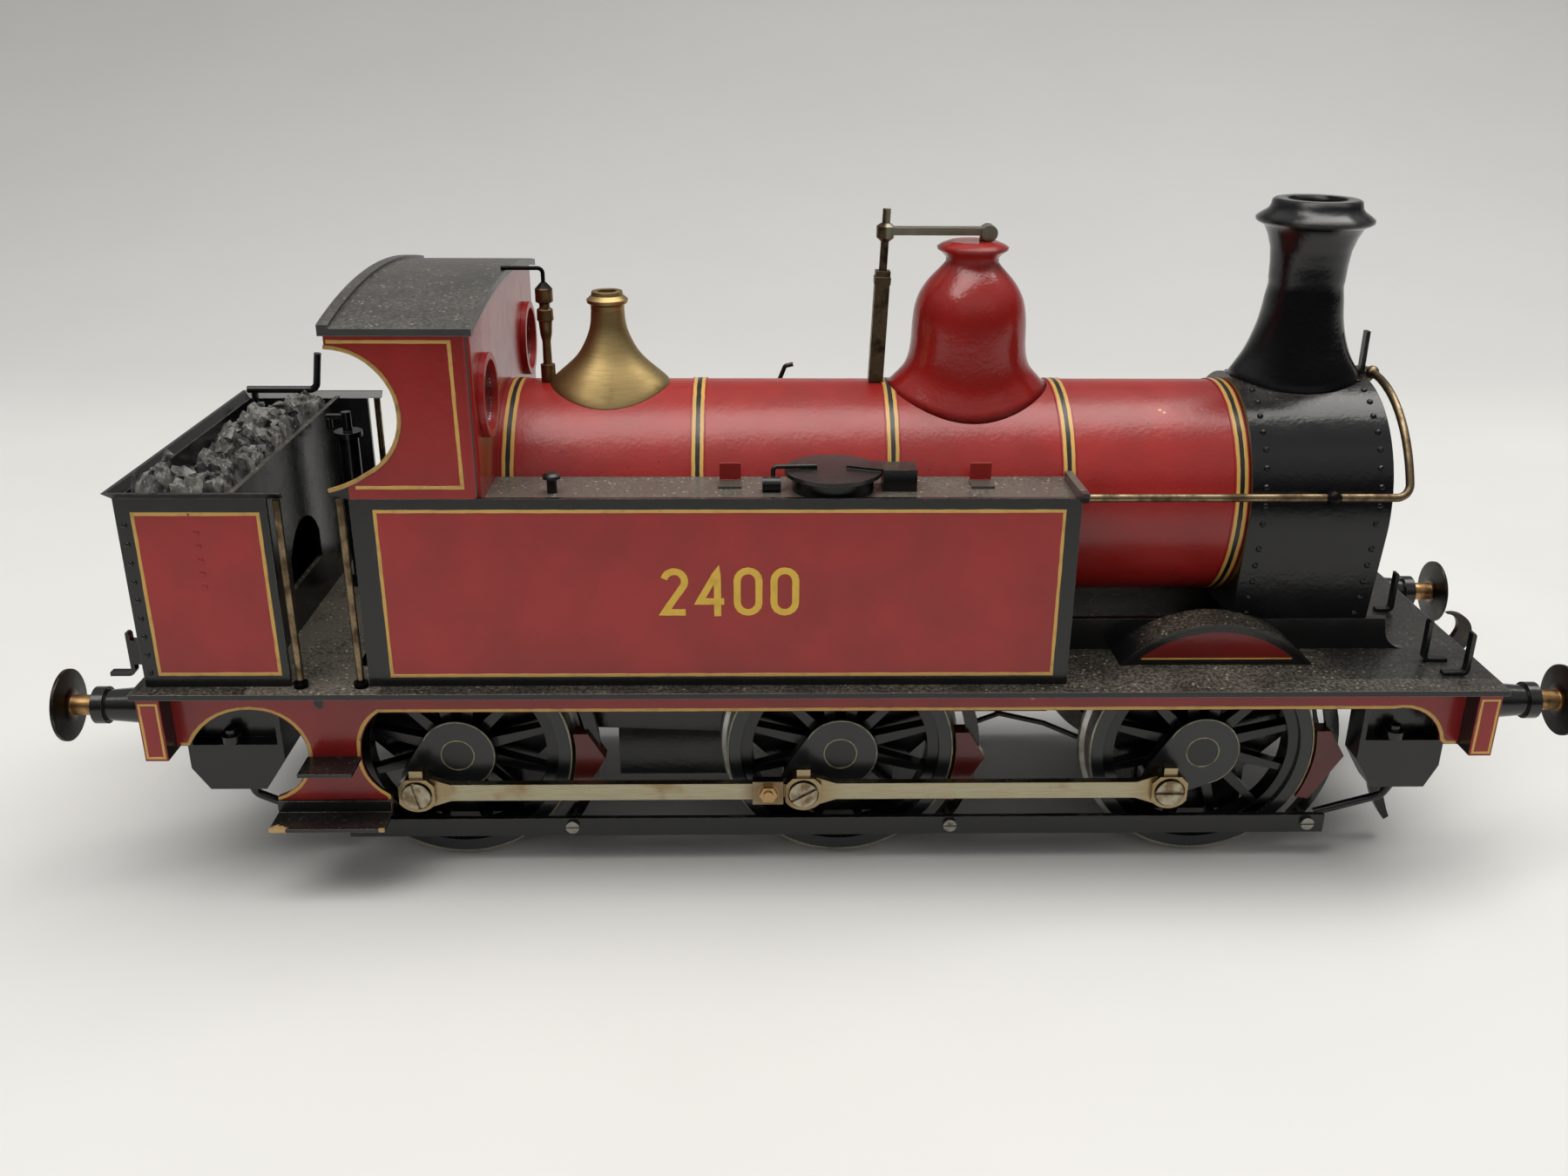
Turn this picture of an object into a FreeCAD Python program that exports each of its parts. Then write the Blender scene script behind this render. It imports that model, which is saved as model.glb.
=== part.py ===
"""Half-cab 0-6-0 side tank locomotive, a model at 7 mm to the foot. All sizes in millimetres.

+X points to the chimney end, +Y to the locomotive's left side and +Z up. The origin lies on the
surface that the wheels stand on, under the middle of the length over buffers.
Right-hand pieces are on the -Y side. Each sub-part is written to parts/NODE.step.
"""
import FreeCAD, Part
import math
import os
from FreeCAD import Vector

# ---- scale and running gear ----
FOOT = 7.0
TREAD_R = 16.0
FLANGE_R = 17.0
AXLE_Z = FLANGE_R
AXLE_R = 2.38
MIDDLE_X = 2.7
REAR_X = MIDDLE_X - (7 + 8 / 12) * FOOT
FRONT_X = MIDDLE_X + (7 + 4 / 12) * FOOT
AXLES = {"rear": REAR_X, "middle": MIDDLE_X, "front": FRONT_X}
WHEEL_BACK_Y = 14.5
WHEEL_FACE_Y = 18.4
TYRE_IN_R = 14.0
RIM_IN_R = 12.4
SPOKES = 12
BOSS_FACE_Y = 18.9
BOSS_R = 5.3
PIN_BOSS_R = 3.1
CRANK_THROW = 6.8
RIGHT_CRANK_DEG = -140.8
LEFT_CRANK_DEG = RIGHT_CRANK_DEG + 90.0
RUN_GAP = 0.05

# ---- coupling rods ----
ROD_IN_Y = 20.7
ROD_OUT_Y = 21.9
EYE_OUT_Y = 22.6
ROD_HALF_H = 1.25
EYE_R = 2.6
CRANKPIN_R = 1.6
KNUCKLE_BACK = 4.9

# ---- footplate, beams and frames ----
FOOTPLATE_TOP = 30.9
FOOTPLATE_T = 0.8
FOOTPLATE_Z = FOOTPLATE_TOP - FOOTPLATE_T
FOOTPLATE_HALF_L = 90.9
FOOTPLATE_HALF_W = 27.8
STEP_OUT_Y = 29.3
BEAM_FACE_X = 90.1
BEAM_T = 3.0
BEAM_BACK_X = BEAM_FACE_X - BEAM_T
BEAM_HALF_W = 27.6
BEAM_Z = 21.1
FRAME_IN_Y = 12.6
FRAME_OUT_Y = 14.0
UPSTAND_IN_Y = 13.0
UPSTAND_OUT_Y = 14.1
UPSTAND_TOP = 35.5
VALANCE_IN_Y = 23.6
VALANCE_OUT_Y = 24.3
VALANCE_Z = 26.5

# ---- boiler, smokebox and cab ----
BOILER_Z = 50.77
BOILER_R = 15.04
SHEET = 0.7
CAB_FRONT_X = -43.6
SMOKEBOX_REAR_X = 57.2
SMOKEBOX_FRONT_X = 76.2
SMOKEBOX_R = 16.2
CHIMNEY_X = 66.5
DOME_X = 20.35
SAFETY_VALVE_X = -29.4
BAND_T = 0.14
BAND_X = (-42.1, -16.9, 9.3, 32.9, 56.2)
BODY_HALF_W = 25.33
TANK_REAR_X = -60.1
TANK_FRONT_X = 32.2
TANK_TOP = 56.3
TANK_EDGE = 56.9
CAB_REAR_X = -60.9
ROOF_CROWN = 81.1
ROOF_HALF_W = 26.2
ROOF_RISE = 2.6
ROOF_T = 0.9
ROOF_R = (ROOF_HALF_W ** 2 + ROOF_RISE ** 2) / (2 * ROOF_RISE)
WINDOW_Y = 17.2
WINDOW_Z = 68.2
WINDOW_R = 4.5
BUNKER_REAR_X = -89.4
BUNKER_FRONT_X = -70.4
BUNKER_TOP = 57.0
COAL_PLATE_X = -75.4

# ---- buffers ----
BUFFER_Y = 20.0
BUFFER_Z = 25.66
BUFFER_END_X = 103.7
BUFFER_BACK_X = 102.6
HOUSING_END_X = 98.9
SHANK_R = 1.4
STOP_R = 1.65
STOP_X = 94.4
NOSE_X = 96.8

# ---- drive ----
WORM_WHEEL_R = 5.9
WORM_R = 2.6
WORM_Z = AXLE_Z + WORM_WHEEL_R + WORM_R + 0.1
WORM_TEETH = 30
MOTOR_R = 9.5
MOTOR_REAR_X = -43.2
GEARBOX_REAR_X = -10.4
GEARBOX_FRONT_X = 10.4

SIDES = (-1, 1)
X_DIR = Vector(1, 0, 0)
Y_DIR = Vector(0, 1, 0)
Z_DIR = Vector(0, 0, 1)
PLANES = {
    "XZ": (lambda u, v: Vector(u, 0, v), Y_DIR),
    "YZ": (lambda u, v: Vector(0, u, v), X_DIR),
    "XY": (lambda u, v: Vector(u, v, 0), Z_DIR),
}


# ---- building blocks ----

def box(x0, x1, y0, y1, z0, z1):
    low = Vector(min(x0, x1), min(y0, y1), min(z0, z1))
    return Part.makeBox(abs(x1 - x0), abs(y1 - y0), abs(z1 - z0), low)


def side_box(side, x0, x1, y0, y1, z0, z1):
    """A box given by its distances from the centre line, on one side of it."""
    return box(x0, x1, side * y0, side * y1, z0, z1)


def rod_x(radius, x0, x1, y, z):
    return Part.makeCylinder(radius, x1 - x0, Vector(x0, y, z), X_DIR)


def rod_y(radius, x, y0, y1, z):
    return Part.makeCylinder(radius, abs(y1 - y0), Vector(x, min(y0, y1), z), Y_DIR)


def rod_z(radius, x, y, z0, z1):
    return Part.makeCylinder(radius, z1 - z0, Vector(x, y, z0), Z_DIR)


def prism(plane, low, high, start, *steps):
    """Extrude an outline from low to high. A step is a point, or (via, end) for an arc."""
    to_3d, normal = PLANES[plane]
    edges = []
    here = to_3d(*start)
    for step in steps + (start,):
        if isinstance(step[0], tuple):
            end = to_3d(*step[1])
            edges.append(Part.Arc(here, to_3d(*step[0]), end).toShape())
        else:
            end = to_3d(*step)
            if end.distanceToPoint(here) < 1e-6:
                continue
            edges.append(Part.makeLine(here, end))
        here = end
    face = Part.Face(Part.Wire(edges))
    solid = face.extrude(normal * (high - low))
    solid.translate(normal * low)
    return solid


def side_plate(side, y0, y1, start, *steps):
    """A plate in the XZ plane between two distances from the centre line, on one side."""
    low, high = sorted((side * y0, side * y1))
    return prism("XZ", low, high, start, *steps)


def turned(axis, centre, profile):
    """A solid turned about a line through centre; profile points are (along, radius)."""
    across = Z_DIR if axis != Z_DIR else X_DIR
    points = [centre + axis * along + across * radius for along, radius in profile]
    ends = [centre + axis * profile[-1][0], centre + axis * profile[0][0]]
    return Part.Face(Part.makePolygon(points + ends + points[:1])).revolve(centre, axis, 360)


def bent_rod(points, radius, bend):
    """A round wire through points, with tangent arcs of the bend radius at the corners."""
    corners = [Vector(*p) for p in points]
    edges = []
    here = corners[0]
    for before, corner, after in zip(corners, corners[1:], corners[2:]):
        back = (before - corner).normalize()
        ahead = (after - corner).normalize()
        half = back.getAngle(ahead) / 2
        reach = bend / math.tan(half)
        middle = (back + ahead).normalize()
        via = corner + middle * (bend / math.sin(half) - bend)
        edges.append(Part.makeLine(here, corner + back * reach))
        edges.append(Part.Arc(corner + back * reach, via, corner + ahead * reach).toShape())
        here = corner + ahead * reach
    edges.append(Part.makeLine(here, corners[-1]))
    return swept(edges, radius)


def swept(edges, radius):
    path = Part.Wire(edges)
    start = edges[0].valueAt(edges[0].FirstParameter)
    heading = edges[0].tangentAt(edges[0].FirstParameter)
    section = Part.Wire(Part.makeCircle(radius, start, heading))
    return path.makePipeShell([section], True, False)


def saddled(x, seat_r, rings, slim=0.0, points=24):
    """A skirt that flows on to a horizontal barrel of radius seat_r, slimmer across than along.

    A ring is (height, radius, follow): follow 1 hugs the barrel, and 0 is level. A level ring
    inside the barrel closes the skirt before it is cut to the seat.
    """
    low, wide = rings[0][:2]
    root = (low - seat_r + math.sqrt(seat_r ** 2 - wide ** 2) - 1.0, wide, 0.0)
    wires = []
    for height, radius, follow in (root,) + rings:
        ring = []
        for i in range(points):
            angle = 2 * math.pi * i / points
            y = radius * (1 - slim * follow) * math.sin(angle)
            drop = seat_r - math.sqrt(seat_r ** 2 - y ** 2)
            ring.append(Vector(x + radius * math.cos(angle), y, height - follow * drop))
        curve = Part.BSplineCurve()
        curve.interpolate(Points=ring, PeriodicFlag=True)
        wires.append(Part.Wire(curve.toShape()))
    skirt = Part.makeLoft(wires, True, False)
    barrel = rod_x(seat_r, x - 2 * seat_r, x + 2 * seat_r, 0, BOILER_Z)
    return skirt.cut(barrel)


def topped(skirt, x, profile):
    """A skirt with a turned top; a tapered plug inside the skirt joins the two."""
    height, radius = profile[0]
    plug = ((height - 0.8, radius - 0.4), (height, radius + 0.02))
    return fused(skirt, turned(Z_DIR, Vector(x, 0, 0), plug + profile[1:]))


def both(make):
    """Right and left copies of a piece that make(side) builds."""
    return [make(side) for side in SIDES]


def fused(first, *others):
    return first.multiFuse(list(others)).removeSplitter() if others else first


def save(node, *solids):
    """Write the solids of one sub-part to its own STEP file."""
    loose = [s for shape in solids for s in shape.Solids]
    shape = loose[0] if len(loose) == 1 else Part.makeCompound(loose)
    shape.exportStep(f"parts/{node}.step")


def crank(side):
    """Offset (x, z) of a crankpin from its axle."""
    angle = math.radians(RIGHT_CRANK_DEG if side < 0 else LEFT_CRANK_DEG)
    return CRANK_THROW * math.cos(angle), CRANK_THROW * math.sin(angle)


def boiler_space(radius=BOILER_R):
    return rod_x(radius, CAB_FRONT_X - 1, SMOKEBOX_FRONT_X, 0, BOILER_Z)


# ---- chassis ----

def footplate():
    length, width = FOOTPLATE_HALF_L, FOOTPLATE_HALF_W
    plate = box(-length, length, -width, width, FOOTPLATE_Z, FOOTPLATE_TOP)
    slot_half_l = 12.4
    slot_in, slot_out = UPSTAND_OUT_Y + 0.1, WHEEL_FACE_Y + 0.55
    for x in AXLES.values():
        for side in SIDES:
            plate = plate.cut(side_box(side, x - slot_half_l, x + slot_half_l, slot_in, slot_out, 30, 31))
    motor_hole = box(MOTOR_REAR_X - 0.8, GEARBOX_REAR_X, -10.2, 10.2, 30, 31)
    return plate.cut(motor_hole)


def horns(x):
    """The lower edge of a frame where it drops round an axle."""
    return [(x - 13, 17.0), (x - 8, 12.0), (x - 8, 5.0), (x + 8, 5.0), (x + 8, 12.0), (x + 13, 17.0)]


def frame_plate(side):
    """A side frame: deep horns round the axles, shallow between, a guard iron in front."""
    top, shallow = FOOTPLATE_Z, 22.0
    plate = side_plate(
        side, FRAME_IN_Y, FRAME_OUT_Y,
        (-BEAM_BACK_X, top), (-BEAM_BACK_X, BEAM_Z), (REAR_X - 14, BEAM_Z), *horns(REAR_X),
        (REAR_X + 14, 19.0), (MIDDLE_X - 14, 18.0), *horns(MIDDLE_X), (MIDDLE_X + 14, shallow),
        (FRONT_X - 14, shallow), *horns(FRONT_X), (FRONT_X + 14, shallow), (80.0, shallow), (80.8, 14.0),
        ((81.6, 7.5), (84.2, 2.9)), (84.9, 3.4), ((83.3, 8.0), (82.8, 14.0)), (83.6, BEAM_Z),
        (BEAM_BACK_X, BEAM_Z), (BEAM_BACK_X, top))
    for x in AXLES.values():
        plate = plate.cut(rod_y(3.3, x, -20, 20, AXLE_Z))
    return plate


def axle_bush(x, side):
    """A bearing pressed into the frame from inside, with a running fit on the axle."""
    barrel = rod_y(3.3, x, side * FRAME_IN_Y, side * (FRAME_OUT_Y + 0.2), AXLE_Z)
    flange = rod_y(4.2, x, side * (FRAME_IN_Y - 0.8), side * FRAME_IN_Y, AXLE_Z)
    return fused(barrel, flange).cut(rod_y(AXLE_R + RUN_GAP, x, -20, 20, AXLE_Z))


SCREW_X = (-81.0, 73.0)


def frame_spacers():
    """Cross members between the frames; the end two take the body screws."""
    ends = []
    for x in SCREW_X:
        block = box(x - 3, x + 3, -FRAME_IN_Y, FRAME_IN_Y, 24.0, FOOTPLATE_Z)
        ends.append(block.cut(rod_z(1.0, x, 0, 20, 31)))
    middle = box(24.0, 28.0, -FRAME_IN_Y, FRAME_IN_Y, 23.0, 28.0)
    return ends + [middle]


def body_screw(x):
    shank = rod_z(1.0, x, 0, 24.0, FOOTPLATE_Z - 0.1)
    head = rod_z(1.9, x, 0, 22.8, 24.0)
    return fused(shank, head).cut(box(x - 2, x + 2, -0.25, 0.25, 22.8, 23.4))


def frame_upstand(side):
    """The part of the frame that shows above the footplate, ahead of the tanks."""
    return side_plate(
        side, UPSTAND_IN_Y, UPSTAND_OUT_Y,
        (22.7, FOOTPLATE_TOP), (22.7, UPSTAND_TOP), (79.0, UPSTAND_TOP), (79.3, 33.6),
        ((80.2, 31.8), (82.6, FOOTPLATE_TOP)))


def valance(side):
    """The hanging edge sheet, drawn down at both ends and at the cab steps."""
    return side_plate(
        side, VALANCE_IN_Y, VALANCE_OUT_Y,
        (-BEAM_BACK_X, FOOTPLATE_Z), (-BEAM_BACK_X, 21.6), (-85.8, 21.6),
        ((-83.0, 25.0), (-75.2, 26.8)), ((-71.4, 24.6), (-69.7, 20.5)),
        ((-71.3, 16.0), (-74.7, 13.6)), (-74.7, 11.5), (-59.2, 11.5), (-59.2, 13.6),
        ((-61.9, 16.6), (-62.6, 21.0)), ((-61.7, 24.2), (-59.8, VALANCE_Z)),
        (77.2, VALANCE_Z), ((82.6, 25.2), (84.6, 21.6)), (85.2, BEAM_Z),
        (BEAM_BACK_X, BEAM_Z), (BEAM_BACK_X, FOOTPLATE_Z))


def cab_step_treads(side):
    upper = side_box(side, -69.9, -62.7, VALANCE_OUT_Y, STEP_OUT_Y, 19.4, 19.9)
    lower = side_box(side, -74.7, -59.2, VALANCE_OUT_Y, STEP_OUT_Y, 11.0, 11.5)
    back = side_box(side, -74.7, -59.2, VALANCE_OUT_Y, VALANCE_OUT_Y + 0.5, 11.5, 13.2)
    return [upper, fused(lower, back)]


def buffer_beam(end):
    beam = box(end * BEAM_BACK_X, end * BEAM_FACE_X, -BEAM_HALF_W, BEAM_HALF_W, BEAM_Z, FOOTPLATE_Z)
    return beam.cut(box(-BUFFER_END_X, BUFFER_END_X, -0.5, 0.5, 24.9, 26.3))


def drawhook(end):
    """A flat coupling hook with an eye for a chain link and a tail through the beam."""
    face = BEAM_FACE_X
    hook = prism(
        "XZ", -0.5, 0.5,
        (face, 24.3), (94.6, 24.1), ((98.4, 24.4), (99.3, 27.2)), ((98.2, 29.5), (95.0, 30.3)),
        ((97.0, 28.6), (96.7, 26.9)), ((95.6, 26.1), (94.7, 26.9)), (face, 26.9))
    tail = box(BEAM_BACK_X - 3, face, -0.5, 0.5, 24.9, 26.3)
    whole = fused(hook, tail).cut(rod_y(0.75, 92.6, -2, 2, 25.6))
    return whole if end > 0 else whole.mirror(Vector(0, 0, 0), X_DIR)


def buffer_housing(end, side):
    profile = ((BEAM_FACE_X, 3.4), (91.3, 3.4), (91.3, 2.9), (92.6, 2.5), (97.3, 2.1), (97.3, 2.55),
               (HOUSING_END_X, 2.55))
    spot = Vector(0, side * BUFFER_Y, BUFFER_Z)
    solid = turned(X_DIR, spot, profile)
    solid = solid.cut(rod_x(STOP_R + 0.1, BEAM_FACE_X, NOSE_X, spot.y, BUFFER_Z))
    solid = solid.cut(rod_x(SHANK_R + 0.08, NOSE_X - 1, HOUSING_END_X, spot.y, BUFFER_Z))
    return solid if end > 0 else solid.mirror(Vector(0, 0, 0), X_DIR)


def buffer_head(end, side):
    """A domed disc on a shank, whose stop collar the housing's nose holds in."""
    profile = ((STOP_X, STOP_R), (NOSE_X - RUN_GAP, STOP_R), (NOSE_X - RUN_GAP, SHANK_R),
               (102.1, SHANK_R), (102.35, 2.4), (BUFFER_BACK_X, 4.95),
               (103.0, 4.95), (103.4, 3.9), (103.62, 2.2), (BUFFER_END_X, 0.6))
    solid = turned(X_DIR, Vector(0, side * BUFFER_Y, BUFFER_Z), profile)
    return solid if end > 0 else solid.mirror(Vector(0, 0, 0), X_DIR)


def buffer_spring(end, side):
    """A square-wire compression spring between the beam and the shank's stop collar."""
    wire_r, coil_r, turns = 0.16, 1.3, 4
    length = STOP_X - BEAM_FACE_X - 2 * wire_r - 0.04
    helix = Part.makeHelix(length / turns, length, coil_r)
    corners = [Vector(coil_r + a * wire_r, 0, b * wire_r) for a, b in ((-1, -1), (1, -1), (1, 1), (-1, 1))]
    section = Part.makePolygon(corners + corners[:1])
    coil = Part.Wire(helix.Edges).makePipeShell([section], True, True)
    coil.rotate(Vector(0, 0, 0), Y_DIR, 90)
    coil.translate(Vector(BEAM_FACE_X + wire_r + 0.02, side * BUFFER_Y, BUFFER_Z))
    return coil if end > 0 else coil.mirror(Vector(0, 0, 0), X_DIR)


def sandbox(side, front):
    """A sandbox hung under the footplate, its front face cut back round the filler."""
    if front:
        x0, x1, depth = 74.6, 86.3, (17.9, 22.2)
        outline = ((x0, FOOTPLATE_Z), (x0, 17.6), (x0 + 2.6, 13.2), (x1 - 1.6, 13.2), (x1, 16.6),
                   (x1, FOOTPLATE_Z))
    else:
        x0, x1, depth = -86.7, -73.8, (15.0, 22.2)
        outline = ((x0, FOOTPLATE_Z), (x0, 17.0), (x0 + 2.2, 13.7), (x1 - 3.0, 13.7), (x1, 18.2),
                   (x1, FOOTPLATE_Z))
    body = side_plate(side, *depth, *outline)
    shelf = 20.6
    pocket = side_box(side, x0 + 0.7, x1 - 0.7, 19.8, 23.0, shelf, FOOTPLATE_Z)
    cap = rod_z(1.4, (x0 + x1) / 2 - 0.8, side * 21.0, shelf, shelf + 1.1)
    knob = rod_z(0.8, (x0 + x1) / 2 - 0.8, side * 21.0, shelf + 1.1, shelf + 1.9)
    return fused(body.cut(pocket), cap, knob)


def sand_pipe(side, front):
    if front:
        points = ((81.5, side * 19.9, 13.2), (80.9, side * 18.2, 9.6), (72.0, side * 17.2, 6.2))
    else:
        points = ((-80.3, side * 19.2, 13.7), (-79.6, side * 18.9, 11.2), (-70.0, side * 17.4, 5.6))
    return bent_rod(points, 0.6, 1.6)


def ashpan():
    """A tray under the firebox, between the frames; its ends are low to clear the motor."""
    half_w, floor = FRAME_IN_Y - 0.2, 10.3
    x0, x1 = -29.0, GEARBOX_REAR_X - 0.8
    tray = box(x0, x1, -half_w, half_w, floor, 24.0)
    tray = tray.cut(box(x0 + SHEET, x1 - SHEET, -half_w + SHEET, half_w - SHEET, floor + SHEET, 25))
    return tray.cut(box(x0 - 1, x1 + 1, -half_w + SHEET, half_w - SHEET, 15.0, 25))


# ---- brake gear ----

HANGER_R = (18.0, 19.8)
BRAKE_PIN_OFFSET = (15.75, -10.6)


def polar(x, radius, degrees):
    angle = math.radians(degrees)
    return (x + radius * math.cos(angle), AXLE_Z + radius * math.sin(angle))


def brake_hanger(x, side):
    """A curved hanger in front of a wheel, from the footplate to the pull rod."""
    inner, outer = HANGER_R
    top, bottom = 33, -37
    bow = side_plate(
        side, 16.4, 17.4,
        polar(x, inner, top), (polar(x, inner, 0), polar(x, inner, bottom)),
        (polar(x, 18.9, bottom - 3), polar(x, outer, bottom)),
        (polar(x, outer, 0), polar(x, outer, top)), (x + 16.9, FOOTPLATE_Z), (x + 15.0, FOOTPLATE_Z))
    pin_x, pin_z = BRAKE_PIN_OFFSET
    return bow.cut(rod_y(0.5, x + pin_x, -20, 20, AXLE_Z + pin_z))


def brake_block(x, side):
    face_r = TREAD_R + 0.45
    block = side_plate(
        side, 15.6, 18.2,
        polar(x, face_r, 10), (polar(x, face_r, -9), polar(x, face_r, -28)),
        polar(x, 18.2, -26), polar(x, 20.6, -3), polar(x, 18.4, 9))
    return block.cut(brake_hanger(x, side))


def brake_pull_rod(side):
    bar = side_box(side, -66.8, 72.3, 19.6, 20.4, 4.8, 7.6)
    pin_x, pin_z = BRAKE_PIN_OFFSET
    for x in AXLES.values():
        bar = bar.cut(rod_y(0.5, x + pin_x, -22, 22, AXLE_Z + pin_z))
    return bar


def brake_screw(x, side):
    pin_x, pin_z = BRAKE_PIN_OFFSET
    z = AXLE_Z + pin_z
    shank = rod_y(0.5, x + pin_x, side * 16.4, side * 20.4, z)
    head = rod_y(0.95, x + pin_x, side * 20.4, side * 20.95, z)
    slot = side_box(side, x + pin_x - 1, x + pin_x + 1, 20.75, 21.0, z - 0.13, z + 0.13)
    return fused(shank, head).cut(slot)


# ---- wheels, axles and rods ----

def wheel_centre(x, side):
    """A spoked centre with a rim, a hub and a long crank boss."""
    dx, dz = crank(side)
    rim = rod_y(TYRE_IN_R, x, side * 15.0, side * 17.9, AXLE_Z)
    rim = rim.cut(rod_y(RIM_IN_R, x, side * 15.0, side * 17.9, AXLE_Z))
    hub = rod_y(4.2, x, side * WHEEL_BACK_Y, side * 18.0, AXLE_Z)
    spokes = []
    for i in range(SPOKES):
        low, high = sorted((side * 15.5, side * 17.5))
        spoke = prism("XZ", low, high, (3.0, -0.85), (RIM_IN_R + 0.4, -0.5), (RIM_IN_R + 0.4, 0.5), (3.0, 0.85))
        spoke.rotate(Vector(0, 0, 0), Y_DIR, 360 / SPOKES * (i + 0.5))
        spoke.translate(Vector(x, 0, AXLE_Z))
        spokes.append(spoke)
    boss = [rod_y(BOSS_R, x, side * 16.6, side * BOSS_FACE_Y, AXLE_Z),
            rod_y(PIN_BOSS_R, x + dx, side * 16.6, side * BOSS_FACE_Y, AXLE_Z + dz),
            crank_web(x, side, dx, dz)]
    wheel = fused(rim, hub, *spokes, *boss)
    wheel = wheel.cut(rod_y(AXLE_R, x, -20, 20, AXLE_Z))
    return wheel.cut(rod_y(1.1, x + dx, -20, 20, AXLE_Z + dz))


def crank_web(x, side, dx, dz):
    """The flat between the two boss circles, bounded by their outer tangents."""
    along = math.atan2(dz, dx)
    spread = math.acos((BOSS_R - PIN_BOSS_R) / CRANK_THROW)
    corners = []
    for turn, radius, far in ((spread, BOSS_R, 0), (spread, PIN_BOSS_R, 1),
                              (-spread, PIN_BOSS_R, 1), (-spread, BOSS_R, 0)):
        corners.append((x + far * dx + radius * math.cos(along + turn),
                        AXLE_Z + far * dz + radius * math.sin(along + turn)))
    return side_plate(side, 16.6, BOSS_FACE_Y, *corners)


def tyre(x, side):
    back, face = WHEEL_BACK_Y, WHEEL_FACE_Y
    profile = ((side * back, FLANGE_R - 0.45), (side * (back + 0.35), FLANGE_R),
               (side * (back + 0.7), FLANGE_R - 0.25), (side * (back + 1.1), TREAD_R + 0.1),
               (side * (face - 0.3), TREAD_R - 0.05), (side * face, TREAD_R - 0.35))
    ring = turned(Y_DIR, Vector(x, 0, AXLE_Z), profile)
    return ring.cut(rod_y(TYRE_IN_R, x, -20, 20, AXLE_Z))


PIN_SLOT_TURN = {REAR_X: 77, MIDDLE_X: -30, FRONT_X: 0}


def crankpin(x, side):
    """A screwed pin: thread in the boss, spacing collar, bearing and slotted head."""
    dx, dz = crank(side)
    px, pz = x + dx, AXLE_Z + dz
    parts = [rod_y(1.1, px, side * 16.6, side * BOSS_FACE_Y, pz),
             rod_y(2.3, px, side * BOSS_FACE_Y, side * (ROD_IN_Y - 0.1), pz),
             rod_y(CRANKPIN_R, px, side * (ROD_IN_Y - 0.1), side * (ROD_OUT_Y + 0.05), pz),
             rod_y(1.95, px, side * (ROD_OUT_Y + 0.05), side * (EYE_OUT_Y + 0.35), pz)]
    slot = side_box(side, px - 2.2, px + 2.2, EYE_OUT_Y, EYE_OUT_Y + 1, pz - 0.22, pz + 0.22)
    slot.rotate(Vector(px, 0, pz), Y_DIR, PIN_SLOT_TURN[x])
    return fused(*parts).cut(slot)


def axle(x):
    return rod_y(AXLE_R, x, -BOSS_FACE_Y, BOSS_FACE_Y, AXLE_Z)


def rod_eye(px, pz, side, rod_way):
    """A rod's end block round a crankpin, flared from the rod, with an oil cup on top."""
    block = side_plate(
        side, ROD_IN_Y, EYE_OUT_Y,
        (px - 1.5, pz + 2.4), (px + 1.5, pz + 2.4), (px + 2.5, pz + 1.4), (px + 2.5, pz - 1.3),
        ((px, pz - EYE_R), (px - 2.5, pz - 1.3)), (px - 2.5, pz + 1.4))
    cup = side_box(side, px - 0.95, px + 0.95, ROD_IN_Y + 0.2, EYE_OUT_Y - 0.4, pz + 2.3, pz + 3.6)
    start, end = px + rod_way * 4.6, px + rod_way * 1.8
    flare = side_plate(side, ROD_IN_Y, ROD_OUT_Y, (start, pz - ROD_HALF_H), (start, pz + ROD_HALF_H),
                       (end, pz + 2.2), (end, pz - 2.2))
    return fused(block, cup, flare)


def rod_bar(x0, x1, z, side):
    return side_box(side, x0, x1, ROD_IN_Y, ROD_OUT_Y, z - ROD_HALF_H, z + ROD_HALF_H)


def bored(rod, px, pz, side):
    """Bore a rod for its pin, with a wider seat for the screw head."""
    rod = rod.cut(rod_y(CRANKPIN_R + RUN_GAP, px, side * 19, side * 24, pz))
    return rod.cut(rod_y(2.15, px, side * ROD_OUT_Y, side * 24, pz))


def coupling_rods(side):
    """Front rod, rear rod and the knuckle bolt that joins them behind the middle pin."""
    dx, dz = crank(side)
    pz = AXLE_Z + dz
    rear, middle, front = (x + dx for x in AXLES.values())
    knuckle_x = middle - KNUCKLE_BACK
    tongue = side_box(side, knuckle_x - 1.4, middle, 21.0, 21.6, pz - 1.0, pz + 1.0)
    front_rod = fused(rod_eye(middle, pz, side, 1), rod_eye(front, pz, side, -1),
                      rod_bar(middle, front, pz, side), tongue)
    front_rod = bored(bored(front_rod, middle, pz, side), front, pz, side)
    fork = side_box(side, knuckle_x - 2.2, knuckle_x + 2.1, ROD_IN_Y, 22.2, pz - 1.9, pz + 1.7)
    rear_rod = fused(rod_eye(rear, pz, side, 1), rod_bar(rear, knuckle_x, pz, side), fork)
    rear_rod = bored(rear_rod, rear, pz, side).cut(tongue)
    shank = rod_y(0.6, knuckle_x, side * ROD_IN_Y, side * 22.2, pz)
    return [front_rod.cut(shank), rear_rod.cut(shank), knuckle_bolt(knuckle_x, pz, side, shank)]


def knuckle_bolt(x, z, side, shank):
    hexagon = [(x + 1.3 * math.cos(math.radians(60 * i)), z + 1.3 * math.sin(math.radians(60 * i)))
               for i in range(6)]
    nut = side_plate(side, 22.2, 23.0, *hexagon)
    return fused(shank, nut, rod_y(0.7, x, side * 23.0, side * 23.3, z))


# ---- drive ----

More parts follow.
